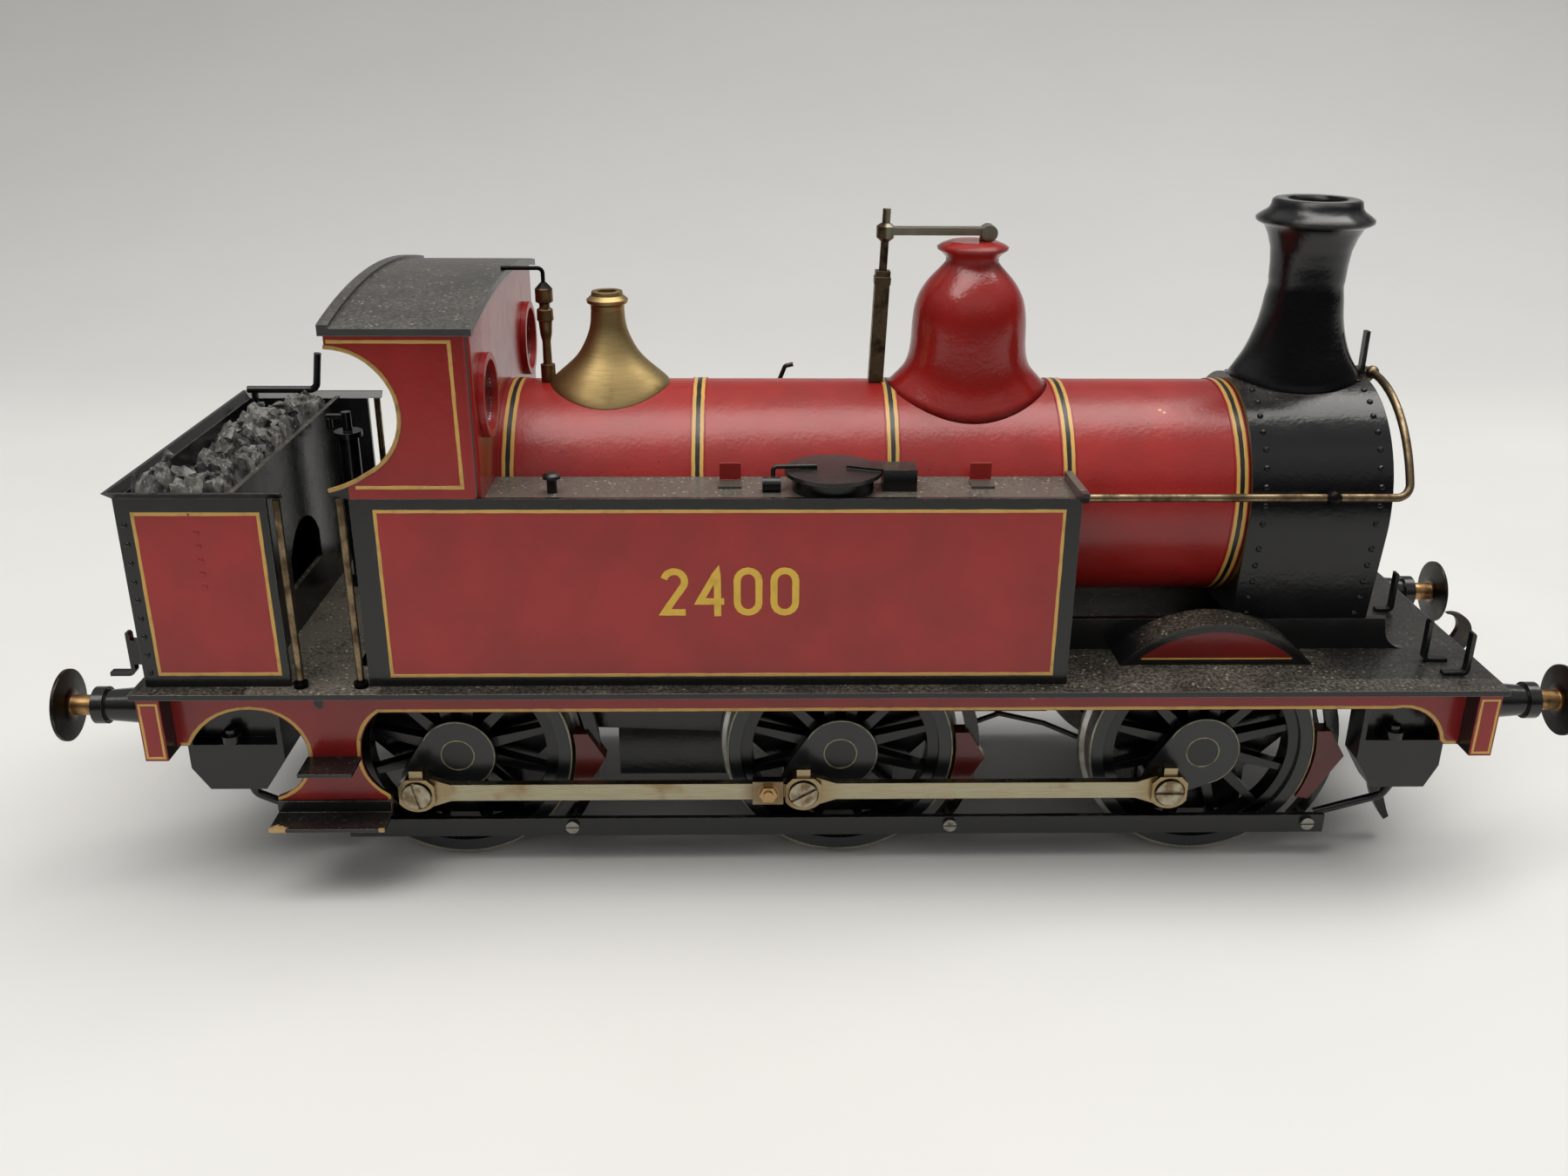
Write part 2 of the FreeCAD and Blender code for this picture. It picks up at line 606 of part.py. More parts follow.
def worm_wheel():
    wheel = fused(rod_y(WORM_WHEEL_R, MIDDLE_X, -2.0, 2.0, AXLE_Z), rod_y(3.8, MIDDLE_X, -3.6, 3.6, AXLE_Z))
    for i in range(WORM_TEETH):
        gash = box(WORM_WHEEL_R - 0.7, WORM_WHEEL_R + 1, -3, 3, -0.3, 0.3)
        gash.rotate(Vector(0, 0, 0), Y_DIR, 360 / WORM_TEETH * i)
        gash.translate(Vector(MIDDLE_X, 0, AXLE_Z))
        wheel = wheel.cut(gash)
    return wheel.cut(rod_y(AXLE_R, MIDDLE_X, -20, 20, AXLE_Z))


def worm_shaft():
    """Motor shaft with the worm on it, grooved at the worm wheel's tooth pitch."""
    half_l, root_r, grooves = 5.6, 1.9, 8
    pitch = 2 * half_l / grooves
    profile = [(-half_l, 1.0), (-half_l, root_r)]
    for i in range(grooves):
        x = -half_l + pitch * i
        profile += [(x + 0.3 * pitch, WORM_R), (x + 0.6 * pitch, WORM_R), (x + 0.9 * pitch, root_r)]
    profile += [(half_l, root_r), (half_l, 1.0)]
    worm = turned(X_DIR, Vector(MIDDLE_X, 0, WORM_Z), profile)
    return fused(worm, rod_x(1.0, MOTOR_REAR_X + 26, GEARBOX_FRONT_X + 0.4, 0, WORM_Z))


def motor():
    can = rod_x(MOTOR_R, MOTOR_REAR_X + 2, GEARBOX_REAR_X, 0, WORM_Z)
    cap = rod_x(MOTOR_R - 0.6, MOTOR_REAR_X, MOTOR_REAR_X + 2, 0, WORM_Z)
    tags = [box(MOTOR_REAR_X - 1.6, MOTOR_REAR_X, s * 5, s * 7, WORM_Z - 0.2, WORM_Z + 0.2) for s in SIDES]
    shaft_space = rod_x(1.0 + RUN_GAP, MOTOR_REAR_X + 25, GEARBOX_REAR_X, 0, WORM_Z)
    return fused(can, cap, *tags).cut(shaft_space)


def gearbox():
    """A folded cradle: two bearing cheeks on the driven axle, and plates for the shaft."""
    in_y, out_y, low, high = 4.4, 5.2, 13.2, 29.6
    x0, x1 = GEARBOX_REAR_X, GEARBOX_FRONT_X
    cheeks = [side_box(s, x0, x1, in_y, out_y, low, high) for s in SIDES]
    ends = [box(x, x + 0.8, -out_y, out_y, 21.5, high) for x in (x0, x1 - 0.8)]
    cradle = fused(*cheeks, *ends)
    cradle = cradle.cut(rod_y(AXLE_R + RUN_GAP, MIDDLE_X, -20, 20, AXLE_Z))
    return cradle.cut(rod_x(1.0 + RUN_GAP, x0 - 1, x1 + 1, 0, WORM_Z))


def pickups():
    """An insulating strip under the middle spacer, and four wipers behind the tyres."""
    strip = box(19.0, 33.0, -11.8, 11.8, 20.0, 20.8)
    post = rod_z(1.5, 26.0, 0, 20.8, 23.0)
    wipers = []
    for side in SIDES:
        for start, end in ((25.5, 39.4), (26.5, 17.5)):
            points = ((start, side * 11.4, 19.6), ((start + end) / 2, side * 12.4, 18.4), (end, side * 13.9, 15.9))
            wipers.append(bent_rod(points, 0.38, 3.0))
    return [fused(strip, post).cut(Part.makeCompound(wipers))] + wipers


# ---- boiler and smokebox ----

def boiler_barrel():
    outer = rod_x(BOILER_R, CAB_FRONT_X, SMOKEBOX_REAR_X, 0, BOILER_Z)
    return outer.cut(rod_x(BOILER_R - SHEET, CAB_FRONT_X - 1, SMOKEBOX_REAR_X + 1, 0, BOILER_Z))


def boiler_bands(dome_solid):
    bands = []
    for x in BAND_X:
        ring = rod_x(BOILER_R + BAND_T, x - 1.0, x + 1.0, 0, BOILER_Z).cut(boiler_space())
        bands.append(ring.cut(dome_solid))
    return bands


def smokebox_outline(inset):
    """Section of the wrapper: a round top, with sides drawn in to the frames."""
    radius = SMOKEBOX_R - inset
    foot_y, foot_z = UPSTAND_OUT_Y - inset, UPSTAND_TOP + inset
    tangent = math.radians(-9.4)
    side_y, side_z = radius * math.cos(tangent), BOILER_Z + radius * math.sin(tangent)
    return ((-foot_y, foot_z), (-side_y, side_z), ((0, BOILER_Z + radius), (side_y, side_z)), (foot_y, foot_z))


def smokebox():
    x0, x1 = SMOKEBOX_REAR_X, SMOKEBOX_FRONT_X
    shell = prism("YZ", x0, x1, *smokebox_outline(0))
    shell = shell.cut(prism("YZ", x0 + SHEET, x1 - SHEET, *smokebox_outline(SHEET)))
    return shell.cut(rod_x(10.5, x1 - 1, x1 + 1, 0, BOILER_Z))


def smokebox_door():
    """A dished door on the smokebox front, with strap hinges and a two-lever handle."""
    x = SMOKEBOX_FRONT_X
    disc = turned(X_DIR, Vector(0, 0, BOILER_Z),
                  ((x, 12.4), (x + 0.5, 12.4), (x + 0.9, 11.2), (x + 1.6, 7.5), (x + 2.0, 3.5), (x + 2.1, 0.5)))
    straps = [box(x, x + 2.2, -1.0, 13.4, BOILER_Z + h - 0.6, BOILER_Z + h + 0.6) for h in (-4.6, 4.6)]
    pin = rod_z(0.55, x + 0.55, 13.9, BOILER_Z - 6.2, BOILER_Z + 6.2)
    boss = rod_x(1.3, x + 2.0, x + 3.0, 0, BOILER_Z)
    levers = []
    for degrees, reach in ((100, x + 3.0), (200, x + 3.4)):
        lever = box(reach - 0.4, reach, -0.35, 0.35, BOILER_Z - 0.4, BOILER_Z + 4.6)
        lever.rotate(Vector(0, 0, BOILER_Z), X_DIR, degrees)
        levers.append(lever)
    stud = rod_x(0.5, x + 2.0, x + 3.8, 0, BOILER_Z)
    return fused(disc, *straps, pin, boss, *levers, stud)


def chimney():
    crown = BOILER_Z + SMOKEBOX_R
    skirt = saddled(CHIMNEY_X, SMOKEBOX_R, (
        (crown - 0.7, 9.2, 1.0), (crown + 0.3, 9.1, 1.0), (crown + 1.2, 8.5, 0.92), (69.8, 7.45, 0.66),
        (71.9, 6.5, 0.36), (74.0, 5.82, 0.14), (76.1, 5.42, 0.03), (78.2, 5.15, 0.0), (80.2, 5.02, 0.0)), 0.3)
    whole = topped(skirt, CHIMNEY_X, (
        (80.2, 5.02), (82.3, 5.1), (84.3, 5.32), (86.0, 5.85), (87.3, 6.5), (87.7, 7.3), (88.0, 7.7),
        (88.4, 7.7), (88.8, 7.2), (89.4, 6.3), (89.8, 6.0), (90.2, 5.9), (90.7, 5.8), (90.9, 5.5)))
    return whole.cut(rod_z(3.9, CHIMNEY_X, 0, 72.0, 92))


def dome():
    crown = BOILER_Z + BOILER_R
    skirt = saddled(DOME_X, BOILER_R, (
        (crown - 0.6, 11.05, 1.0), (crown + 0.2, 10.95, 1.0), (crown + 0.9, 10.1, 0.95), (67.7, 9.15, 0.8),
        (69.0, 8.4, 0.5), (70.8, 8.0, 0.2), (72.8, 7.88, 0.05), (75.2, 7.74, 0.0), (77.0, 7.4, 0.0),
        (78.75, 6.65, 0.0), (80.5, 5.35, 0.0), (82.0, 3.95, 0.0), (82.5, 3.57, 0.0)), 0.14)
    return topped(skirt, DOME_X, (
        (82.5, 3.57), (83.1, 3.6), (83.7, 4.2), (84.1, 4.8), (84.45, 4.85), (84.8, 4.3), (85.2, 3.2)))


def safety_valve_cover():
    crown = BOILER_Z + BOILER_R
    skirt = saddled(SAFETY_VALVE_X, BOILER_R, (
        (crown - 0.6, 8.35, 1.0), (crown + 0.2, 8.25, 1.0), (66.9, 7.4, 0.93), (67.95, 6.15, 0.7),
        (69.65, 4.4, 0.32), (71.45, 3.3, 0.1), (73.2, 2.62, 0.0), (74.6, 2.36, 0.0), (75.9, 2.27, 0.0)), 0.08)
    whole = topped(skirt, SAFETY_VALVE_X, (
        (75.9, 2.27), (76.5, 2.3), (76.8, 2.75), (77.25, 2.85), (77.6, 2.45), (77.8, 2.2), (78.35, 2.1)))
    return whole.cut(rod_z(1.3, SAFETY_VALVE_X, 0, 76.6, 79))


WHISTLE_X = -38.0
SALTER_X = 7.6
SALTER_LEAN = 2.2
LEVER_Z = 86.5


def salter_valve():
    """A spring balance on the boiler, and the forked lever from it to the dome top."""
    base = BOILER_Z + BOILER_R - 0.6
    casing = box(SALTER_X - 1.0, SALTER_X + 1.0, -1.0, 1.0, base, 81.2)
    collar = box(SALTER_X - 1.1, SALTER_X + 1.1, -1.1, 1.1, 79.4, 80.4)
    rod = rod_z(0.55, SALTER_X, 0, 81.2, LEVER_Z - 1.0)
    joint = turned(Z_DIR, Vector(SALTER_X, 0, LEVER_Z), ((-1.4, 0.6), (-0.9, 1.2), (0.6, 1.25), (1.0, 0.7)))
    screw = rod_z(0.55, SALTER_X, 0, LEVER_Z + 1.0, 89.4)
    column = fused(casing, collar, rod, joint, screw)
    column.rotate(Vector(SALTER_X, 0, base), Y_DIR, SALTER_LEAN)
    column = column.cut(boiler_space(BOILER_R + BAND_T))
    strips = [box(SALTER_X + 0.8, DOME_X + 1.6, s * 0.35, s * 0.95, LEVER_Z - 0.5, LEVER_Z + 0.5) for s in SIDES]
    end = rod_y(1.1, DOME_X + 2.0, -1.2, 1.2, LEVER_Z - 0.2)
    post = rod_z(0.8, DOME_X + 1.6, 0, 85.2, LEVER_Z - 0.4)
    lever = fused(end, post, *strips).cut(column)
    return [column, lever]


def whistle(cover):
    """A turned whistle, with its operating wire bent back over the cab roof."""
    profile = ((65.7, 1.0), (68.2, 1.0), (68.3, 0.62), (71.4, 0.58), (72.4, 0.8), (74.2, 0.95), (74.4, 1.15),
               (75.8, 1.1), (76.1, 0.72), (76.6, 0.72), (76.9, 1.2), (78.6, 1.2), (79.5, 0.4))
    body = turned(Z_DIR, Vector(WHISTLE_X, 0, 0), profile).cut(boiler_space())
    over_roof = ROOF_CROWN + 0.29
    wire = bent_rod(((WHISTLE_X, 0, 79.0), (WHISTLE_X, 0, over_roof), (CAB_FRONT_X, 0, over_roof)), 0.28, 0.7)
    return fused(body, wire).cut(cover)


RAIL_R = 0.55
KNOB_X = 67.4
KNOB_R = 0.95
RAIL_BOW_R = 18.4
RAIL_BOW_X = SMOKEBOX_FRONT_X + 1.5
RAIL_BOW_Z = BOILER_Z - 2.0
RAIL_BEND = 1.8
RAIL_START_DEG = 23.4


def rail_foot():
    """Where the side rail's line lies in the YZ plane: its distance from the centre and height."""
    angle = math.radians(RAIL_START_DEG)
    y = RAIL_BOW_R * math.cos(angle) + RAIL_BEND * math.sin(angle)
    return y, RAIL_BOW_Z + RAIL_BOW_R * math.sin(angle) - RAIL_BEND * math.cos(angle)


def boiler_handrail():
    """One wire: along one side, over the smokebox front in a bow, and back."""
    y, z = rail_foot()
    angle = math.radians(RAIL_START_DEG)
    bow_y, bow_z = RAIL_BOW_R * math.cos(angle), RAIL_BOW_Z + RAIL_BOW_R * math.sin(angle)
    near = 1 - math.sqrt(0.5)
    edges = []
    for side in SIDES:
        corner = Vector(RAIL_BOW_X, side * y, z)
        climb = Vector(0, side * (bow_y - y), bow_z - z)
        start = corner - X_DIR * RAIL_BEND
        end = corner + climb
        via = corner - X_DIR * RAIL_BEND * near + climb * near
        tank_end = Vector(TANK_FRONT_X, side * y, z)
        leg = [Part.makeLine(tank_end, start), Part.Arc(start, via, end).toShape()]
        if side < 0:
            edges += leg + [Part.Arc(end, Vector(RAIL_BOW_X, 0, RAIL_BOW_Z + RAIL_BOW_R),
                                     Vector(RAIL_BOW_X, bow_y, bow_z)).toShape()]
        else:
            edges += [Part.Arc(end, via, start).toShape(), Part.makeLine(start, tank_end)]
    rail = swept(edges, RAIL_R)
    return [rail] + handrail_knobs(rail)


def handrail_knobs(rail):
    y, z = rail_foot()
    knobs = []
    for side in SIDES:
        stem = rod_y(0.4, KNOB_X, side * (SMOKEBOX_R - 1.5), side * y, z)
        ball = Part.makeSphere(KNOB_R, Vector(KNOB_X, side * y, z), X_DIR)
        knobs.append(fused(stem, ball).cut(boiler_space(SMOKEBOX_R)).cut(rail))
    top = Vector(RAIL_BOW_X, 0, RAIL_BOW_Z + RAIL_BOW_R)
    stem = rod_x(0.4, SMOKEBOX_FRONT_X, RAIL_BOW_X, 0, BOILER_Z + SMOKEBOX_R - 0.6)
    knobs.append(fused(stem, Part.makeSphere(KNOB_R, top, Y_DIR)).cut(rail))
    return knobs


def splasher(side):
    """A front splasher: an arched top and a set-back face."""
    centre_z, outer_r, inner_r = 19.35, 17.65, 17.15
    reach = 15
    arch = rod_y(outer_r, FRONT_X, side * UPSTAND_OUT_Y, side * 19.6, centre_z)
    arch = arch.cut(rod_y(inner_r, FRONT_X, side * UPSTAND_OUT_Y, side * 19.6, centre_z))
    face = rod_y(inner_r, FRONT_X, side * 18.98, side * 19.38, centre_z)
    below = box(FRONT_X - 2 * reach, FRONT_X + 2 * reach, -30, 30, 0, FOOTPLATE_TOP)
    beside = prism("YZ", SMOKEBOX_REAR_X - 0.05, SMOKEBOX_FRONT_X, *smokebox_outline(0))
    return fused(arch, face).cut(below).cut(beside)


# ---- tanks, cab and bunker ----

def side_tank(side):
    """A folded shell, open below over the wheels and against the boiler."""
    wide, inner = BODY_HALF_W, BODY_HALF_W - SHEET
    x0, x1, floor = TANK_REAR_X, TANK_FRONT_X, FOOTPLATE_TOP
    sheet = side_box(side, x0, x1, inner, wide, floor, TANK_EDGE)
    top = side_box(side, x0, x1, 13.0, inner, TANK_TOP - SHEET, TANK_TOP)
    ends = [side_box(side, x, x + SHEET, UPSTAND_OUT_Y, inner, floor, TANK_TOP) for x in (x0, x1 - SHEET)]
    cab_wall = side_box(side, x0, CAB_FRONT_X, 13.0, 13.0 + SHEET, floor, TANK_TOP)
    rear_gap = side_box(side, x0, x0 + SHEET, 13.0, UPSTAND_OUT_Y, floor, TANK_TOP)
    coping = side_plate_yz(side, x1 - 0.3, x1 + 0.7, (
        (UPSTAND_OUT_Y + 1, TANK_TOP), (UPSTAND_OUT_Y + 1, TANK_TOP + 1.1), (26.1, TANK_TOP + 1.5),
        (26.1, TANK_TOP + 0.9), (wide, TANK_TOP)))
    shell = fused(sheet, top, *ends, cab_wall, rear_gap, coping)
    shell = shell.cut(wheel_room(REAR_X, side))
    return shell.cut(boiler_space(BOILER_R + BAND_T))


def wheel_room(x, side):
    """The space that a wheel needs where it rises above the footplate."""
    return rod_y(FLANGE_R + 0.5, x, side * (UPSTAND_OUT_Y + 0.1), side * (WHEEL_FACE_Y + 0.55), AXLE_Z)


def side_plate_yz(side, x0, x1, points):
    mirrored = [(side * y, z) for y, z in points]
    return prism("YZ", x0, x1, *mirrored)


FILLER_X = 0.9
FILLER_Y = 19.1


def tank_filler(side):
    """Filler neck with its lid, hinge block and clamp screw, as separate pieces."""
    y = side * FILLER_Y
    neck = rod_z(5.3, FILLER_X, y, TANK_TOP, 58.4).cut(boiler_space())
    lid = rod_z(6.3, FILLER_X, y, 58.4, 58.95).cut(boiler_space())
    block = side_box(side, 7.3, 11.7, 16.8, 20.6, TANK_TOP, 59.2)
    tongue = prism("XY", 58.95, 59.35, (2.6, side * 18.9), (7.3, side * 20.6), (7.3, side * 16.8), (3.2, side * 18.3))
    hinge = fused(block, tongue)
    screw = rod_x(0.95, -8.3, -5.9, side * 20.3, TANK_TOP + 0.95)
    shut = ((-6.9, side * 19.8, 57.9), (-6.9, side * 19.6, 59.35), (-1.2, side * 18.9, 59.25))
    swung_up = ((-6.6, 20.3, 57.6), (-6.1, 20.2, 59.6), (-4.6, 19.8, 63.4), (-3.4, 19.7, 63.7))
    arm = bent_rod(shut, 0.3, 0.5) if side < 0 else bent_rod(swung_up, 0.34, 0.5)
    return [neck, lid, hinge, fused(screw, arm)]


def tank_top_fittings(side):
    """A mushroom vent and two lifting lugs on each tank top."""
    vent = turned(Z_DIR, Vector(-35.3, side * 20.7, 0), (
        (TANK_TOP, 0.65), (58.0, 0.65), (58.2, 1.15), (58.6, 1.15), (58.9, 0.7)))
    lugs = []
    for x in (-12.5, 20.5):
        foot = side_box(side, x - 1.5, x + 1.5, 16.5, 19.4, TANK_TOP, TANK_TOP + 0.35)
        upstand = side_box(side, x - 1.4, x + 1.4, 16.2, 16.55, TANK_TOP, TANK_TOP + 2.6)
        lugs.append(fused(foot, upstand))
    return [vent] + lugs


def under_roof():
    """The space below the roof sheet, as a wide cylinder along the cab."""
    return rod_x(ROOF_R - ROOF_T, -80, -30, 0, ROOF_CROWN - ROOF_R)


def cab_shell():
    """Front and sides of the cab in one sheet with rounded corners."""
    front = box(CAB_FRONT_X - SHEET, CAB_FRONT_X, -BODY_HALF_W, BODY_HALF_W, TANK_TOP, ROOF_CROWN)
    apron = box(CAB_FRONT_X - SHEET, CAB_FRONT_X, -13.0, 13.0, FOOTPLATE_TOP, TANK_TOP)
    shell = fused(front, apron, *both(cab_side))
    corners = [e for e in shell.Edges if is_front_corner(e)]
    shell = shell.makeFillet(1.2, corners).common(under_roof())
    for side in SIDES:
        shell = shell.cut(rod_x(WINDOW_R, CAB_FRONT_X - 2, CAB_FRONT_X + 1, side * WINDOW_Y, WINDOW_Z))
        shell = shell.cut(side_box(side, CAB_FRONT_X - 5, CAB_FRONT_X + 1, BODY_HALF_W - SHEET, 26, 50, TANK_EDGE))
    return shell


def is_front_corner(edge):
    """True for the two upright outer edges between the cab front and its sides."""
    spot = edge.CenterOfMass
    at_corner = abs(spot.x - CAB_FRONT_X) < 0.01 and abs(abs(spot.y) - BODY_HALF_W) < 0.01
    return at_corner and spot.z > TANK_EDGE and edge.Length > 2


def cab_side(side):
    """A cab side with its round entrance cut-out, sweeping back on to the tank."""
    front, rear = CAB_FRONT_X, CAB_REAR_X
    return side_plate(
        side, BODY_HALF_W - SHEET, BODY_HALF_W,
        (front, TANK_EDGE), (front, ROOF_CROWN), (rear, ROOF_CROWN), (rear, 76.15),
        ((-52.65, 67.7), (-57.5, 60.1)), ((-59.8, 58.75), (-62.6, 57.9)), (-62.6, 57.4), (TANK_REAR_X, TANK_EDGE))


def cab_roof():
    """An arched roof with a rain strip along its rear edge."""
    centre_z = ROOF_CROWN - ROOF_R
    x0, x1 = CAB_REAR_X - 0.4, CAB_FRONT_X + 0.6
    sheet = rod_x(ROOF_R, x0, x1, 0, centre_z).cut(rod_x(ROOF_R - ROOF_T, x0, x1, 0, centre_z))
    strip = rod_x(ROOF_R + 0.45, x0, x0 + 1.4, 0, centre_z).cut(rod_x(ROOF_R, x0, x0 + 1.4, 0, centre_z))
    window = box(x0, x1, -ROOF_HALF_W, ROOF_HALF_W, FOOTPLATE_TOP, ROOF_CROWN + 1)
    return fused(sheet, strip).common(window)


def spectacle_rim(side):
    y = side * WINDOW_Y
    ring = rod_x(WINDOW_R + 0.9, CAB_FRONT_X, CAB_FRONT_X + 0.8, y, WINDOW_Z)
    return ring.cut(rod_x(WINDOW_R, CAB_FRONT_X, CAB_FRONT_X + 0.8, y, WINDOW_Z))


def cab_window(side):
    return rod_x(WINDOW_R, CAB_FRONT_X - 0.5, CAB_FRONT_X - 0.1, side * WINDOW_Y, WINDOW_Z)


def backhead():
    """The firebox end inside the cab, with its fire door, regulator and gauge glasses."""
    x = CAB_FRONT_X - SHEET
    plate = prism("YZ", x - 2.4, x, (-11.5, FOOTPLATE_TOP), (-11.5, 54.0), ((0, 64.5), (11.5, 54.0)), (11.5, FOOTPLATE_TOP))
    door = rod_x(3.4, x - 3.2, x - 2.4, 0, 41.0)
    regulator = box(x - 3.9, x - 3.3, -0.5, 7.0, 58.2, 59.2)
    boss = rod_x(1.2, x - 3.9, x - 2.4, 0, 58.7)
    gauges = [rod_z(0.5, x - 3.0, s * 6.0, 49.0, 55.5) for s in SIDES]
    cocks = [rod_x(0.6, x - 3.4, x - 2.4, s * 6.0, z) for s in SIDES for z in (49.2, 55.3)]
    return fused(plate, door, regulator, boss, *gauges, *cocks)


def handbrake():
    """A brake column on the cab floor, with a cranked handle."""
    x, y, floor, top = -70.3, 12.0, FOOTPLATE_TOP, 57.2
    foot = rod_z(2.3, x, y, floor, floor + 0.8)
    column = rod_z(1.45, x, y, floor + 0.8, 54.5)
    tray = rod_z(2.1, x, y, 54.5, 55.3)
    neck = rod_z(0.7, x, y, 55.3, top + 1.0)
    arm = box(x - 3.0, x + 0.5, y - 0.4, y + 0.4, top, top + 0.6)
    grip = rod_z(0.45, x - 2.6, y, top - 1.6, top)
    return fused(foot, column, tray, neck, arm, grip)


def bunker():
    """Sides and back with a flared top edge that runs on past the front."""
    wide, x0, x1 = BODY_HALF_W, BUNKER_REAR_X, BUNKER_FRONT_X
    outer = box(x0, x1, -wide, wide, FOOTPLATE_TOP, BUNKER_TOP)
    walls = outer.cut(box(x0 + SHEET, x1 + 1, -wide + SHEET, wide - SHEET, FOOTPLATE_TOP, BUNKER_TOP))
    rim_x = x1 + 2.1
    outer_flare = flare(0.0, x0, wide)
    inner_flare = flare(0.5, x0, wide)
    beyond = box(rim_x, rim_x + 30, -40, 40, BUNKER_TOP - 1, BUNKER_TOP + 3)
    return fused(walls, outer_flare.cut(inner_flare).cut(beyond))


def flare(inset, x0, wide):
    """A block that widens upwards, as the flare's outer or inner face."""
    sections = []
    for height, spread in ((BUNKER_TOP, 0.0), (BUNKER_TOP + 0.9, 0.9)):
        back, half = x0 - spread + inset, wide + spread - inset
        corners = [Vector(back, -half, height), Vector(-60, -half, height), Vector(-60, half, height),
                   Vector(back, half, height)]
        sections.append(Part.makePolygon(corners + corners[:1]))
    return Part.makeLoft(sections, True, True)


def coal_plate():
    """The bulkhead behind the cab, with an arched shovel hole."""
    wide = BODY_HALF_W - SHEET
    plate = box(COAL_PLATE_X, COAL_PLATE_X + SHEET, -wide, wide, FOOTPLATE_TOP, BUNKER_TOP + 0.4)
    hole = prism("YZ", COAL_PLATE_X - 1, COAL_PLATE_X + 2, (-6.8, 37.2), (-6.8, 41.5), ((0, 45.6), (6.8, 41.5)), (6.8, 37.2))
    return plate.cut(hole)


def coal_load():
    """Coal heaped on the bunker shelf, in ridges across its width."""
    wide, low, mean, ridges = BODY_HALF_W - SHEET, 47.0, 56.4, 9
    step = 2 * wide / ridges
    heap = [(-wide, low)]
    for i in range(ridges):
        y = -wide + step * i
        heap += [(y, mean - 0.8), (y + step / 2, mean + 0.9 * math.cos(1.7 * i))]
    heap += [(wide, mean - 0.8), (wide, low)]
    return prism("YZ", BUNKER_REAR_X + SHEET, COAL_PLATE_X, *heap)


def fire_iron():
    """A bent iron lying across the far corner of the bunker top."""
    y, z = 21.5, 59.2
    rail = bent_rod(((-87.8, y, z), (-77.2, y, z), (-76.4, y, 64.9)), 0.55, 1.2)
    clips = [side_box(1, x - 0.4, x + 0.4, 21.1, 21.9, BUNKER_TOP - 1.9, z) for x in (-86.8, -79.6)]
    return fused(rail, *clips).cut(coal_load())


def cab_handrail(side, x):
    """An upright rail with a small foot, at the edge of the cab entrance."""
    y = side * (BODY_HALF_W - 0.05)
    rail = rod_z(0.5, x, y, FOOTPLATE_TOP + 0.7, 56.85)
    return fused(rail, rod_z(0.95, x, y, FOOTPLATE_TOP, FOOTPLATE_TOP + 0.7))


def lamp_iron(x, y, z, reach, height):
    """A strap bent into a foot along X and an upright, 1.2 mm wide."""
    way, thick, bend = math.copysign(1.0, reach), 0.55, 0.95
    near, far = 1 - math.sqrt(0.5), math.sqrt(0.5)
    hollow = bend - thick
    return prism(
        "XZ", y - 0.6, y + 0.6, (x + reach, z), (x + way * bend, z),
        ((x + way * bend * near, z + bend * near), (x, z + bend)), (x, z + height - 0.3),
        (x + way * 0.2, z + height), (x + way * thick, z + height), (x + way * thick, z + bend),
        ((x + way * (bend - hollow * far), z + bend - hollow * far), (x + way * bend, z + thick)),
        (x + reach, z + thick))


def lamp_irons():
    spots = ((87.4, -22.6, -3.5), (83.0, -18.2, 3.4), (86.4, -0.5, -2.6), (87.4, 22.6, -3.5))
    front = [lamp_iron(x, y, FOOTPLATE_TOP, reach, 6.2) for x, y, reach in spots]
    crown = BOILER_Z + SMOKEBOX_R
    foot = box(75.8, 76.7, -0.6, 0.6, crown - 0.1, crown + 0.5)
    top = fused(foot, box(75.8, 76.35, -0.6, 0.6, crown + 0.5, crown + 6.1)).cut(boiler_space(SMOKEBOX_R))
    rear = []
    for y in (-22.6, 22.6):
        stub = box(BUNKER_REAR_X - 2.1, BUNKER_REAR_X, y - 0.6, y + 0.6, 33.2, 36.6)
        rear.append(fused(lamp_iron(BUNKER_REAR_X - 2.0, y, 31.5, -3.4, 6.2), stub))
    return front + [top] + rear


# ---- sub-parts and files ----

